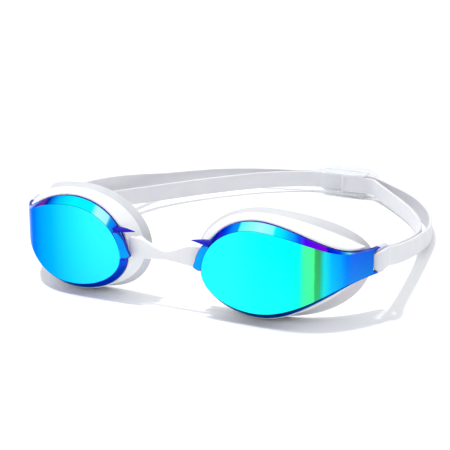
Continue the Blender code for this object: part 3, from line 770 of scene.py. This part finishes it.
@dataclass
class Lens:
    """One lens moulding: raised mirrored face, bevel, edge, hollow back, tab, horn and fork."""

    side: Side
    wall: float = 1.8
    nose_bevel: float = 1.4
    top_bevel: float = 2.7
    bottom_bevel: float = 2.5
    rise: float = LENS_FACE_RISE
    bevel_end: float = 61.0
    least: float = 0.05
    land: float = 1.6
    edge_round: float = 0.16
    upper_prong: float = 9.6
    lower_prong: float = 7.2
    prong_height: float = 0.95
    fillet: float = 1.8
    coated_part: float = 0.4
    prong_root: float = 0.6
    prong_steps: int = 22
    tip_part: float = 0.12
    tip_shrink: float = 0.7
    post_levels: tuple[tuple[float, float], ...] = (
        (17.3, 1.0), (17.6, 1.15), (18.2, 1.0), (25.4, 1.0), (26.0, 1.15), (26.3, 1.0),
    )
    tab_set_back: float = 0.15
    horn_round: float = 0.12
    tab_wall: float = 1.4
    tab_slope: float = 0.18

    def share(self, s: float) -> float:
        """How much of the bevel is left at s."""
        along = (s - LENS_OUTLINE.top_s) / (self.bevel_end - LENS_OUTLINE.top_s)
        return max(self.least, math.cos(min(max(along, 0.0), 1.0) * math.pi / 2) ** 0.8)

    def contour(self, skin: Skin, part: float, extra: float, depth: float) -> list[int]:
        """Adds a ring of the lens.

        Args:
            skin: The mesh.
            part: Share of the way over the bevel, from rim to face.
            extra: How much further in the ring lies.
            depth: How far behind the rim's front.

        Returns:
            The numbers of the ring's points.
        """
        points = LENS_OUTLINE.points()
        ring, places = [], []
        for index, (s, z) in enumerate(points):
            share = self.share(s)
            direction = inward(points, index)
            upright = self.top_bevel if direction.y < 0 else self.bottom_bevel
            full = self.nose_bevel * direction.x ** 2 + upright * direction.y ** 2
            spot = Vector((s, z)) + direction * (full * part + extra) * share
            ring.append(WRAP.at(spot.x, spot.y, depth - self.rise * share ** 1.6 * part))
            places.append((spot.x, spot.y))
        return skin.ring(ring, places)

    def fill(self, skin: Skin, ring: Sequence[int], finish: int) -> None:
        """Closes a ring with upright strips.

        Args:
            skin: The mesh.
            ring: The ring.
            finish: The strips' finish.
        """
        count = len(ring)
        columns = 2 * QUARTER
        skin.face((ring[0], ring[1], ring[-1]), finish)
        for index in range(1, columns - 1):
            skin.face((ring[index], ring[index + 1], ring[count - index - 1], ring[count - index]), finish)
        skin.face(ring[columns - 1:count - columns + 2], finish)

    def shell(self) -> bpy.types.Object:
        """Builds the shell of the lens."""
        skin = Skin(f"lens_{self.side.label}_shell")
        face, upper, lower, edge, back = range(5)
        front = self.contour(skin, 0.0, 0.0, self.edge_round)
        rings = [self.contour(skin, part, 0.0, 0.0) for part in (0.05, 0.5, 0.95)]
        brim = self.contour(skin, 1.0, 0.12, 0.0)
        inner = self.contour(skin, 1.0, 0.4, 0.0)
        skin.join(front, rings[0], edge)
        skin.join(rings[0], rings[1], upper, lower=lower)
        skin.join(rings[1], rings[2], upper, lower=lower)
        skin.join(rings[2], brim, upper, lower=lower)
        skin.join(brim, inner, face)
        self.fill(skin, inner, face)
        behind = self.contour(skin, 0.0, 0.0, self.wall)
        land = self.contour(skin, 0.0, self.land, self.wall)
        hollow = self.contour(skin, 1.0, self.wall / 2, self.wall)
        skin.join(front, behind, edge)
        skin.join(behind, land, back)
        skin.join(land, hollow, back)
        self.fill(skin, hollow, back)
        # The face and bevel finishes paint the studio's reflections and highlights along with the coating's
        # tint.
        shell_finishes = [
            FACE_TINT_AND_PAINTED_REFLECTION[self.side], UPPER_BEVEL_TINT_AND_PAINTED_REFLECTION[self.side], LOWER_BEVEL_TINT_AND_PAINTED_REFLECTION[self.side], EDGE_NAVY, BACK_SMOKE,
        ]
        return skin.build([coat.material() for coat in shell_finishes], self.side, 60.0)

    def prong(self, name: str, outer_z: float, inner_z: float, length: float) -> bpy.types.Object:
        """Builds one prong of the temple fork.

        Args:
            name: The prong's name.
            outer_z: The height of its outer edge.
            inner_z: The height of its edge by the strap.
            length: How far it reaches past the lens.

        Returns:
            The prong.
        """
        skin = Skin(f"lens_{self.side.label}_{name}")
        rings = []
        steps = self.prong_steps
        for step in range(steps + 1):
            t = step / steps
            reach = (length + self.prong_root) * t - self.prong_root
            tip = max(0.0, (t - (1.0 - self.tip_part)) / self.tip_part)
            shrink = 1.0 - self.tip_shrink * tip ** 2
            root = max(0.0, 1.0 - max(0.0, reach) / self.fillet)
            inside = inner_z + (inner_z - outer_z) * root ** 2
            middle = (outer_z + inside) / 2
            half = (outer_z - inside) / 2 * shrink
            thick = self.wall / 2 * shrink
            corners = [
                WRAP.at(LENS_LENGTH + reach, middle + half, self.wall / 2 - thick),
                WRAP.at(LENS_LENGTH + reach, middle + half, self.wall / 2 + thick),
                WRAP.at(LENS_LENGTH + reach, middle - half, self.wall / 2 + thick),
                WRAP.at(LENS_LENGTH + reach, middle - half, self.wall / 2 - thick),
            ]
            rings.append(skin.ring(rounded(corners, [0.25] * 4, 3)))
        for number, (here, there) in enumerate(zip(rings, rings[1:])):
            skin.join(here, there, 1 if number < steps * self.coated_part else 0)
        skin.face(rings[0], 1)
        skin.face(rings[-1], 0)
        # On the right lens the prong's root takes the pale clear finish in place of the arm blue, painting
        # the glancing sheen on that lens's temple.
        root_finish = ARM_BLUE if self.side is Side.LEFT else PRONG_CLEAR
        return skin.build([PRONG_CLEAR.material(), root_finish.material()], self.side)

    def post(self) -> bpy.types.Object:
        """Builds the upright post that the strap's fold turns round."""
        skin = Skin(f"lens_{self.side.label}_post")
        centre = post_place()
        loops = []
        for z, radius in self.post_levels:
            loops.append([
                Vector((centre.x + radius * math.cos(a), centre.y + radius * math.sin(a), z))
                for a in (step / 20 * math.tau for step in range(20))
            ])
        skin.loft(loops)
        return skin.build([PRONG_CLEAR.material()], self.side)

    def tab(self) -> bpy.types.Object:
        """Builds the flat tab beside the nose."""
        skin = Skin(f"lens_{self.side.label}_tab")
        nose_x = WRAP.gap / 2
        corners = [
            Vector((nose_x + x, 0.0, NOSE_Z + z)) for x, z in TAB_CORNERS
        ]
        outline = rounded(corners, [0.8] * len(corners), 3)
        middle = sum(outline, Vector()) / len(outline)

        def level(shrink: float, y: float) -> list[int]:
            """A ring of the tab.

            Args:
                shrink: How far it is drawn in.
                y: Its depth.

            Returns:
                The numbers of its points.
            """
            ring = []
            for point in outline:
                inside = (middle - point).normalized() * shrink
                lean = max(0.0, nose_x + self.nose_bevel - point.x) * self.tab_slope
                ring.append(point + inside + Vector((0.0, y + lean, 0.0)))
            return skin.ring(ring)

        front_y = self.tab_set_back - self.rise
        levels = [
            level(0.42, front_y), level(0.1, front_y + 0.1), level(0.0, front_y + 0.35),
            level(0.0, front_y + self.tab_wall - 0.3), level(0.3, front_y + self.tab_wall),
        ]
        for here, there in zip(levels, levels[1:]):
            skin.join(here, there, 1)
        skin.face(levels[0], 0)
        skin.face(levels[-1], 1)
        return skin.build([TAB_AZURE.material(), EDGE_NAVY.material()], self.side)

    def horn(self) -> bpy.types.Object:
        """Builds the pointed horn above the tab."""
        shape = bmesh.new()
        for x, y, z in HORN_CORNERS:
            shape.verts.new((
                self.side.value * (WRAP.gap / 2 + x) * MM, y * MM + ORIGIN_Y, (NOSE_Z + z) * MM,
            ))
        hull = bmesh.ops.convex_hull(shape, input=shape.verts)
        bmesh.ops.delete(shape, geom=hull["geom_unused"] + hull["geom_interior"], context="VERTS")
        bmesh.ops.bevel(shape, geom=list(shape.edges), offset=self.horn_round * MM, segments=2,
                        affect="EDGES", profile=0.5, clamp_overlap=True)
        bmesh.ops.recalc_face_normals(shape, faces=shape.faces)
        return mesh_object(f"lens_{self.side.label}_horn", shape, [HORN_BLUE.material()], 50.0)

    def make(self) -> None:
        """Builds every piece of the lens."""
        body = f"{self.side.label}_eyepiece"
        settle(self.shell(), body, "mirror_lens", f"lens_{self.side.label}")
        upper = self.prong("prong_upper", ARM_TOP_Z, ARM_TOP_Z - self.prong_height, self.upper_prong)
        lower = self.prong("prong_lower", ARM_BOTTOM_Z, ARM_BOTTOM_Z + self.prong_height, self.lower_prong)
        for piece in (upper, lower, self.post(), self.tab(), self.horn()):
            settle(piece, body, "mirror_lens")


def post_place() -> Vector:
    """The plan position of a strap post's axis."""
    fold = StrapSize()
    return WRAP.at(LENS_LENGTH + fold.fold_radius + fold.wall / 2 + JOINT_GAP, 0.0, 0.9)


@dataclass
class EyeFrame:
    """One rigid white frame: an outer lip round the lens and a wall back to the seal."""

    side: Side
    lip: float = 0.8
    lower_lip: float = 0.25
    fit: float = 0.06
    lip_depth: float = 0.4
    lip_fade: float = 52.0
    seat: float = 3.0
    seat_depth: float = 2.1
    wall: float = 2.0
    end_s: float = 66.0
    socket_at: tuple[float, float, float] = (12.9, 4.6, 20.6)
    socket_half: tuple[float, float, float] = (3.1, 2.0, 4.4)
    socket_levels: int = 16

    def front_depth(self, s: float) -> float:
        """Depth of the lip's front edge at s."""
        share = min(max((s - self.lip_fade) / (self.end_s - self.lip - self.lip_fade), 0.0), 1.0)
        return self.lip_depth + (self.seat_depth - 0.1 - self.lip_depth) * share

    @staticmethod
    def back_depth(s: float) -> float:
        """Depth of the line where the frame meets the seal."""
        return FRAME_DEPTH - 0.8 * min(max(s / LENS_LENGTH, 0.0), 1.0)

    def ring(self) -> bpy.types.Object:
        """Builds the frame's ring."""
        rebate = replace(
            LENS_OUTLINE.inset(-self.fit), end_s=self.end_s - self.lip,
            end_top_z=ARM_TOP_Z + JOINT_GAP, end_bottom_z=ARM_BOTTOM_Z - JOINT_GAP,
        )
        front = replace(
            rebate.inset(-self.lip), end_s=self.end_s, end_top_z=ARM_TOP_Z + JOINT_GAP + self.lip,
            end_bottom_z=ARM_BOTTOM_Z - JOINT_GAP - self.lip, bottom_z=rebate.bottom_z - self.lower_lip,
        )
        seat = replace(LENS_OUTLINE, end_s=self.end_s).inset(self.seat)
        sections = [
            [WRAP.at(s, z, self.front_depth(s)) for s, z in front.points()],
            [WRAP.at(s, z, self.back_depth(s)) for s, z in FRAME_BACK_OUTLINE.points()],
            [WRAP.at(s, z, self.back_depth(s)) for s, z in FRAME_BACK_OUTLINE.inset(self.wall).points()],
            [WRAP.at(s, z, self.seat_depth) for s, z in seat.points()],
            [WRAP.at(s, z, self.seat_depth) for s, z in rebate.points()],
            [WRAP.at(s, z, self.front_depth(s)) for s, z in rebate.points()],
        ]
        skin = Skin(f"frame_{self.side.label}_ring")
        radii = (0.35, 0.3, 0.3, 0.3, 0.15, 0.25)
        skin.loft([rounded(corners, radii, 3) for corners in zip(*sections)], capped=False)
        return skin.build([FRAME_SATIN.material()], self.side, 50.0)

    def fairing(self) -> bpy.types.Object:
        """Builds the smooth swelling that houses the bridge's end bead."""
        skin = Skin(f"frame_{self.side.label}_socket")
        loops = []
        middle_x, middle_y, middle_z = self.socket_at
        half_x, half_y, half_z = self.socket_half
        for step in range(self.socket_levels + 1):
            t = -1 + 2 * step / self.socket_levels
            size = max(0.06, (1 - abs(t) ** 3.2)) ** 0.55
            loops.append([
                Vector((
                    middle_x + half_x * size * math.copysign(abs(math.cos(a)) ** 0.8, math.cos(a)),
                    middle_y + half_y * size * math.copysign(abs(math.sin(a)) ** 0.8, math.sin(a)),
                    middle_z + half_z * t,
                ))
                for a in (number / 28 * math.tau for number in range(28))
            ])
        skin.loft(loops)
        return skin.build([FRAME_SATIN.material()], self.side, 70.0)

    def make(self) -> None:
        """Builds the frame's pieces."""
        body = f"{self.side.label}_eyepiece"
        settle(self.ring(), body, "frame_white", f"frame_{self.side.label}")
        settle(self.fairing(), body, "frame_white")


@dataclass
class FaceSeal:
    """One soft seal, flaring from the frame to a rounded lip on the face."""

    side: Side
    wall: float = 2.2
    nose_depth: float = 9.2
    middle_depth: float = 11.0
    temple_depth: float = 6.8
    swell: float = 0.35

    def back_depth(self, s: float) -> float:
        """Depth of the seal's back edge at s."""
        nose_s = SEAL_BACK_OUTLINE.nose_s
        top_s = SEAL_BACK_OUTLINE.top_s
        end_s = SEAL_BACK_OUTLINE.end_s
        if s < top_s:
            share = (s - nose_s) / (top_s - nose_s)
            return self.nose_depth + (self.middle_depth - self.nose_depth) * share
        share = (s - top_s) / (end_s - top_s)
        return self.middle_depth + (self.temple_depth - self.middle_depth) * share ** 2

    def make(self) -> None:
        """Builds the seal."""
        front = FRAME_BACK_OUTLINE.inset(JOINT_GAP)
        back = SEAL_BACK_OUTLINE
        deep = EyeFrame.back_depth

        def middle(one: Outline, other: Outline, push: float) -> Loop:
            """A ring half way back, pushed out or in.

            Args:
                one: The front outline.
                other: The back outline.
                push: How far behind the middle it lies.

            Returns:
                The ring's points.
            """
            found = []
            for (s1, z1), (s2, z2) in zip(one.points(), other.points()):
                s, z = (s1 + s2) / 2, (z1 + z2) / 2
                depth = (deep(s1) + JOINT_GAP + self.back_depth(s2)) / 2 + push
                found.append(WRAP.at(s, z, depth))
            return found

        sections = [
            [WRAP.at(s, z, deep(s) + 0.05) for s, z in front.points()],
            middle(front, back, self.swell),
            [WRAP.at(s, z, self.back_depth(s)) for s, z in back.points()],
            [WRAP.at(s, z, self.back_depth(s) + JOINT_GAP) for s, z in back.inset(self.wall).points()],
            middle(front.inset(2.0), back.inset(self.wall), 0.0),
            [WRAP.at(s, z, deep(s) + 0.05) for s, z in front.inset(2.0).points()],
        ]
        skin = Skin(f"seal_{self.side.label}_cushion")
        radii = (0.4, 0.8, 0.9, 0.9, 0.8, 0.4)
        skin.loft([rounded(corners, radii, 4) for corners in zip(*sections)], capped=False)
        piece = skin.build([SEAL_SOFT.material()], self.side, 80.0)
        settle(piece, f"{self.side.label}_eyepiece", "seal_white", f"seal_{self.side.label}")


# ---- bridge, straps and clip --------------------------------------------------------
@dataclass
class NoseBridge:
    """The soft bridge: a waisted strip that tucks behind both tabs."""

    reach: float = 15.2
    bead_x: float = 12.2
    front_y: float = 0.5
    wall: float = 1.6
    waist: float = 3.6
    end_height: float = 8.2
    waist_z: float = 20.4
    end_z: float = 21.6
    steps: int = 60

    def make(self) -> None:
        """Builds the bridge."""
        skin = Skin("nose_bridge_strip")
        loops = []
        for step in range(-self.steps, self.steps + 1):
            x = self.reach * step / self.steps
            share = min(1.0, abs(x) / self.bead_x)
            ease = share * share * (3 - 2 * share)
            middle = self.waist_z + (self.end_z - self.waist_z) * ease
            half = (self.waist + (self.end_height - self.waist) * ease) / 2
            tip = max(0.0, (abs(x) - self.reach + 1.0))
            half -= 0.9 * tip ** 2
            crown = 0.25 * (1 - ease)
            corners = [
                Vector((x, self.front_y - crown, middle + half)),
                Vector((x, self.front_y + self.wall, middle + half)),
                Vector((x, self.front_y + self.wall, middle - half)),
                Vector((x, self.front_y - crown, middle - half)),
            ]
            loops.append(rounded(corners, [0.55] * 4, 5))
        skin.loft(loops)
        piece = skin.build([BRIDGE_SOFT.material()], Side.LEFT, 60.0)
        settle(piece, "bridge", "bridge_white", "nose_bridge")


@dataclass(frozen=True)
class StrapSize:
    """The strap's cross-section and how it lies in the fork and the clip."""

    height: float = 7.6
    wall: float = 1.5
    clearance: float = 0.25
    post_radius: float = 1.0
    temple_z: float = 18.0
    clip_z: float = 2.6
    back_y: float = 169.8
    pitch: float = 1.8
    step: float = 1.1
    fold_nip: float = 1.2
    lead: float = 5.0
    fold_steps: int = 16

    @property
    def fold_radius(self) -> float:
        """Radius of the middle of the strap where it turns round the post."""
        return self.post_radius + self.clearance + self.wall / 2


@dataclass
class Strap:
    """One side's strap: out from the clip, round the fork's post and back to the clip."""

    side: Side
    outer_clip: Sequence[tuple[float, int]]
    outer_route: Sequence[tuple[float, float, float]]
    inner_clip: Sequence[tuple[float, int]]
    inner_route: Sequence[tuple[float, float, float]]
    size: StrapSize = field(default_factory=StrapSize)

    def in_clip(self, rows: Sequence[tuple[float, int]]) -> Loop:
        """Points in the clip from pairs of x and layer."""
        size = self.size
        return [Vector((x, size.back_y + size.pitch * layer, size.clip_z)) for x, layer in rows]

    def between(self, rows: Sequence[tuple[float, float, float]]) -> Loop:
        """Points of the route from shares of the post's x and the loop's depth, and a height."""
        post = post_place()
        return [Vector((x * post.x, y * self.size.back_y, z)) for x, y, z in rows]

    def path(self) -> Loop:
        """The line along the strap's lower edge."""
        size = self.size
        post = post_place()
        lead = Vector((0.0, size.lead, 0.0))
        outboard = Vector((post.x + size.fold_radius, post.y, size.temple_z))
        inboard = Vector((post.x - size.fold_radius, post.y, size.temple_z))
        outer = smooth_path(
            [*self.in_clip(self.outer_clip), *self.between(self.outer_route), outboard + lead, outboard],
            size.step,
        )
        inner = smooth_path(
            [inboard, inboard + lead, *self.between(self.inner_route)[::-1],
             *self.in_clip(self.inner_clip)[::-1]],
            size.step,
        )
        fold = []
        for number in range(1, size.fold_steps):
            angle = -math.pi * number / size.fold_steps
            offset = Vector((math.cos(angle), math.sin(angle), 0.0)) * size.fold_radius
            fold.append(Vector((post.x, post.y, size.temple_z)) + offset)
        return outer + fold + inner

    def nip(self, point: Vector) -> float:
        """How much the strap's edges draw in where it folds round the post.

        Args:
            point: A point of the path.

        Returns:
            How far each edge draws in.
        """
        post = post_place()
        size = self.size
        turn = WRAP.turn(LENS_LENGTH + size.fold_radius)
        forward = Vector((-math.cos(turn), -math.sin(turn)))
        away = Vector((point.x - post.x, point.y - post.y))
        share = min(1.0, max(0.0, away.dot(forward) / size.fold_radius))
        if away.length > 1.5 * size.fold_radius:
            return 0.0
        return size.fold_nip * (1.0 - math.sqrt(1.0 - share ** 2))

    def make(self) -> None:
        """Builds the strap."""
        path = self.path()
        size = self.size
        loops = []
        for index, point in enumerate(path):
            before = path[max(0, index - 1)]
            after = path[min(len(path) - 1, index + 1)]
            along = (after - before).normalized()
            across = Vector((along.y, -along.x, 0.0)).normalized() * size.wall / 2
            nip = self.nip(point)
            foot = Vector((0.0, 0.0, nip))
            head = Vector((0.0, 0.0, size.height - nip))
            corners = [point - across + foot, point + across + foot,
                       point + across + head, point - across + head]
            loops.append(rounded(corners, [0.42] * 4, 4))
        skin = Skin(f"strap_{self.side.label}_band")
        skin.loft(loops)
        piece = skin.build([STRAP_SOFT.material()], self.side, 70.0)
        settle(piece, f"{self.side.label}_strap", "strap_silicone", f"strap_{self.side.label}")


STRAPS = (
    Strap(
        Side.LEFT,
        outer_clip=((7.6, 2), (12.6, 2), (17.6, 2)),
        outer_route=(
            (0.369, 0.992, 1.6), (0.557, 0.930, 0.8), (0.687, 0.863, 0.4), (0.792, 0.782, 0.3),
            (0.866, 0.681, 0.9), (0.918, 0.542, 4.5), (0.956, 0.418, 8.4), (0.983, 0.315, 12.1),
            (1.007, 0.224, 16.1),
        ),
        inner_clip=((3.2, 0), (10.2, 0), (17.7, 0)),
        inner_route=(
            (0.306, 0.979, 1.7), (0.424, 0.930, 0.8), (0.540, 0.874, 0.5), (0.658, 0.809, 0.3),
            (0.768, 0.727, 0.4), (0.839, 0.642, 1.6), (0.892, 0.533, 4.6), (0.929, 0.418, 8.4),
            (0.956, 0.315, 12.1), (0.972, 0.224, 16.1),
        ),
    ),
    Strap(
        Side.RIGHT,
        outer_clip=((0.8, 2), (5.8, 2), (11.8, 2)),
        outer_route=(
            (0.295, 1.006, 2.4), (0.463, 0.989, 2.2), (0.624, 0.963, 2.1), (0.772, 0.922, 2.2),
            (0.893, 0.860, 2.7), (0.983, 0.780, 4.1), (1.031, 0.689, 6.9), (1.050, 0.589, 10.1),
            (1.051, 0.483, 13.0), (1.047, 0.377, 15.2), (1.041, 0.277, 16.6), (1.033, 0.212, 17.4),
        ),
        inner_clip=((-9.2, 1), (-3.2, 1), (6.0, 1), (11.0, 1)),
        inner_route=(
            (0.262, 0.992, 2.5), (0.383, 0.962, 2.4), (0.497, 0.923, 2.3), (0.603, 0.876, 2.2),
            (0.701, 0.826, 2.2), (0.795, 0.771, 2.3), (0.875, 0.713, 2.6), (0.939, 0.645, 3.5),
            (0.978, 0.565, 5.3), (0.996, 0.471, 7.8), (0.999, 0.365, 10.8), (0.988, 0.265, 14.3),
            (0.979, 0.212, 16.6),
        ),
    ),
)


@dataclass
class RearClip:
    """The clear clip behind the head: a round-ended plate, two rails and a slim bar between them."""

    middle_x: float = 3.4
    width: float = 33.0
    height: float = 14.0
    plate_y: float = 174.75
    plate: float = 1.4
    front_y: float = 167.4
    rail_half: float = 11.0
    rail: float = 0.8
    low_z: float = 1.2
    high_z: float = 11.6
    bar: float = 0.7
    edge: float = 0.3

    def pill(self, shrink: float, y: float) -> Loop:
        """The plate's outline drawn in by a width, at a depth.

        Args:
            shrink: How far it is drawn in.
            y: The depth.

        Returns:
            The outline's points.
        """
        radius = self.height / 2
        found = []
        for side in (1, -1):
            for step in range(25):
                angle = math.radians(-90 + 180 * step / 24)
                x = side * (self.width / 2 - radius) + side * (radius - shrink) * math.cos(angle)
                z = radius + side * (radius - shrink) * math.sin(angle)
                found.append(Vector((self.middle_x + x, y, z)))
        return found

    def bar_between(self, name: str, low: tuple[float, float, float],
                    high: tuple[float, float, float]) -> bpy.types.Object:
        """Builds a bar with soft edges.

        Args:
            name: The bar's name.
            low: Its lowest corner.
            high: Its highest corner.

        Returns:
            The bar.
        """
        skin = Skin(name)
        loops = []
        for x, shrink in ((low[0], self.edge), (low[0] + 0.1, 0.08), (low[0] + self.edge, 0.0),
                          (high[0] - self.edge, 0.0), (high[0] - 0.1, 0.08), (high[0], self.edge)):
            front, back = low[1] + shrink, high[1] - shrink
            foot, head = low[2] + shrink, high[2] - shrink
            corners = [Vector((x, front, foot)), Vector((x, back, foot)),
                       Vector((x, back, head)), Vector((x, front, head))]
            loops.append(rounded(corners, [self.edge] * 4, 3))
        skin.loft(loops)
        return skin.build([CLIP_CLEAR.material()])

    def make(self) -> None:
        """Builds the clip's pieces."""
        skin = Skin("strap_clip_plate")
        back_y = self.plate_y + self.plate
        skin.loft([
            self.pill(self.edge, self.plate_y), self.pill(0.08, self.plate_y + 0.08),
            self.pill(0.0, self.plate_y + self.edge), self.pill(0.0, back_y - self.edge),
            self.pill(0.08, back_y - 0.08), self.pill(self.edge, back_y),
        ])
        settle(skin.build([CLIP_CLEAR.material()], Side.LEFT, 60.0), "clip", "clip_clear", "strap_clip")
        left, right = self.middle_x - self.rail_half, self.middle_x + self.rail_half
        for name, z in (("rail_lower", self.low_z), ("rail_upper", self.high_z - self.rail)):
            low = (left, self.front_y, z)
            high = (right, self.plate_y + self.edge, z + self.rail)
            settle(self.bar_between(f"strap_clip_{name}", low, high), "clip", "clip_clear")
        x = self.middle_x - self.bar / 2
        low = (x, self.front_y, self.low_z + self.rail - self.edge)
        high = (x + self.bar, self.front_y + self.rail, self.high_z - self.rail + self.edge)
        settle(self.bar_between("strap_clip_bar_middle", low, high), "clip", "clip_clear")


# ---- studio ------------------------------------------------------------------------
@dataclass
class Studio:
    """A white floor, soft white light from above and the camera."""

    azimuth: float = 26.69
    elevation: float = 17.15
    roll: float = -0.27
    lens: float = 115.0
    camera_at: tuple[float, float, float] = (248.77, -444.03, 189.17)
    key_towards: tuple[float, float, float] = (0.26, 0.0, -1.0)
    key_strength: float = 1.75
    key_softness: float = 5.5
    side_light: float = 0.40
    top_light: float = 1.02
    floor_half: float = 3.0

    def floor(self) -> None:
        """Builds the floor."""
        shape = bmesh.new()
        bmesh.ops.create_grid(shape, x_segments=8, y_segments=8, size=self.floor_half)
        piece = mesh_object("studio_floor", shape, [FLOOR_WHITE.material()])

    def lights(self) -> None:
        """Sets the world and the key light."""
        scene = bpy.context.scene
        world = bpy.data.worlds.new("studio_world")
        world.use_nodes = True
        background = world.node_tree.nodes["Background"]
        background.inputs["Color"].default_value = (0.98, 0.99, 1.0, 1.0)
        direction = world.node_tree.nodes.new("ShaderNodeTexCoord").outputs["Generated"]
        axes = world.node_tree.nodes.new("ShaderNodeSeparateXYZ")
        height = world.node_tree.nodes.new("ShaderNodeMapRange")
        height.interpolation_type = "SMOOTHSTEP"
        height.inputs["From Min"].default_value = 0.12
        height.inputs["From Max"].default_value = 0.62
        height.inputs["To Min"].default_value = self.side_light
        height.inputs["To Max"].default_value = self.top_light
        world.node_tree.links.new(direction, axes.inputs["Vector"])
        world.node_tree.links.new(axes.outputs["Z"], height.inputs["Value"])
        world.node_tree.links.new(height.outputs["Result"], background.inputs["Strength"])
        scene.world = world
        key = bpy.data.lights.new("key_light", "SUN")
        key.energy = self.key_strength
        key.angle = math.radians(self.key_softness)
        lamp = bpy.data.objects.new("key_light", key)
        lamp.rotation_mode = "QUATERNION"
        lamp.rotation_quaternion = Vector(self.key_towards).to_track_quat("-Z", "Y")
        # The key light gives no glossy highlight; the lens ramps paint their highlight patches instead.
        lamp.visible_glossy = False
        scene.collection.objects.link(lamp)
        scene.view_settings.view_transform = "Standard"

    def camera(self) -> None:
        """Sets up the camera."""
        a, e, r = (math.radians(value) for value in (self.azimuth, self.elevation, self.roll))
        back = Vector((math.sin(a) * math.cos(e), -math.cos(a) * math.cos(e), math.sin(e)))
        right = Vector((math.cos(a), math.sin(a), 0.0))
        up = back.cross(right)
        rolled_right = right * math.cos(r) + up * math.sin(r)
        rolled_up = -right * math.sin(r) + up * math.cos(r)
        data = bpy.data.cameras.new("camera")
        data.lens = self.lens
        data.sensor_width = 36.0
        made = bpy.data.objects.new("camera", data)
        bpy.context.scene.collection.objects.link(made)
        x, y, z = self.camera_at
        place = Matrix.Translation((x * MM, y * MM + ORIGIN_Y, z * MM))
        made.matrix_world = place @ Matrix((rolled_right, rolled_up, back)).transposed().to_4x4()
        bpy.context.scene.camera = made

    def make(self) -> None:
        """Builds the whole studio."""
        self.camera()
        self.lights()
        self.floor()


def main() -> None:
    """Builds the goggles piece by piece."""
    logging.basicConfig(level=logging.INFO, format="%(name)s: %(message)s")
    Studio().make()
    for side in Side:
        Lens(side).make()
        EyeFrame(side).make()
        FaceSeal(side).make()
    NoseBridge().make()
    for strap in STRAPS:
        strap.make()
    RearClip().make()


if __name__ == "__main__":
    main()
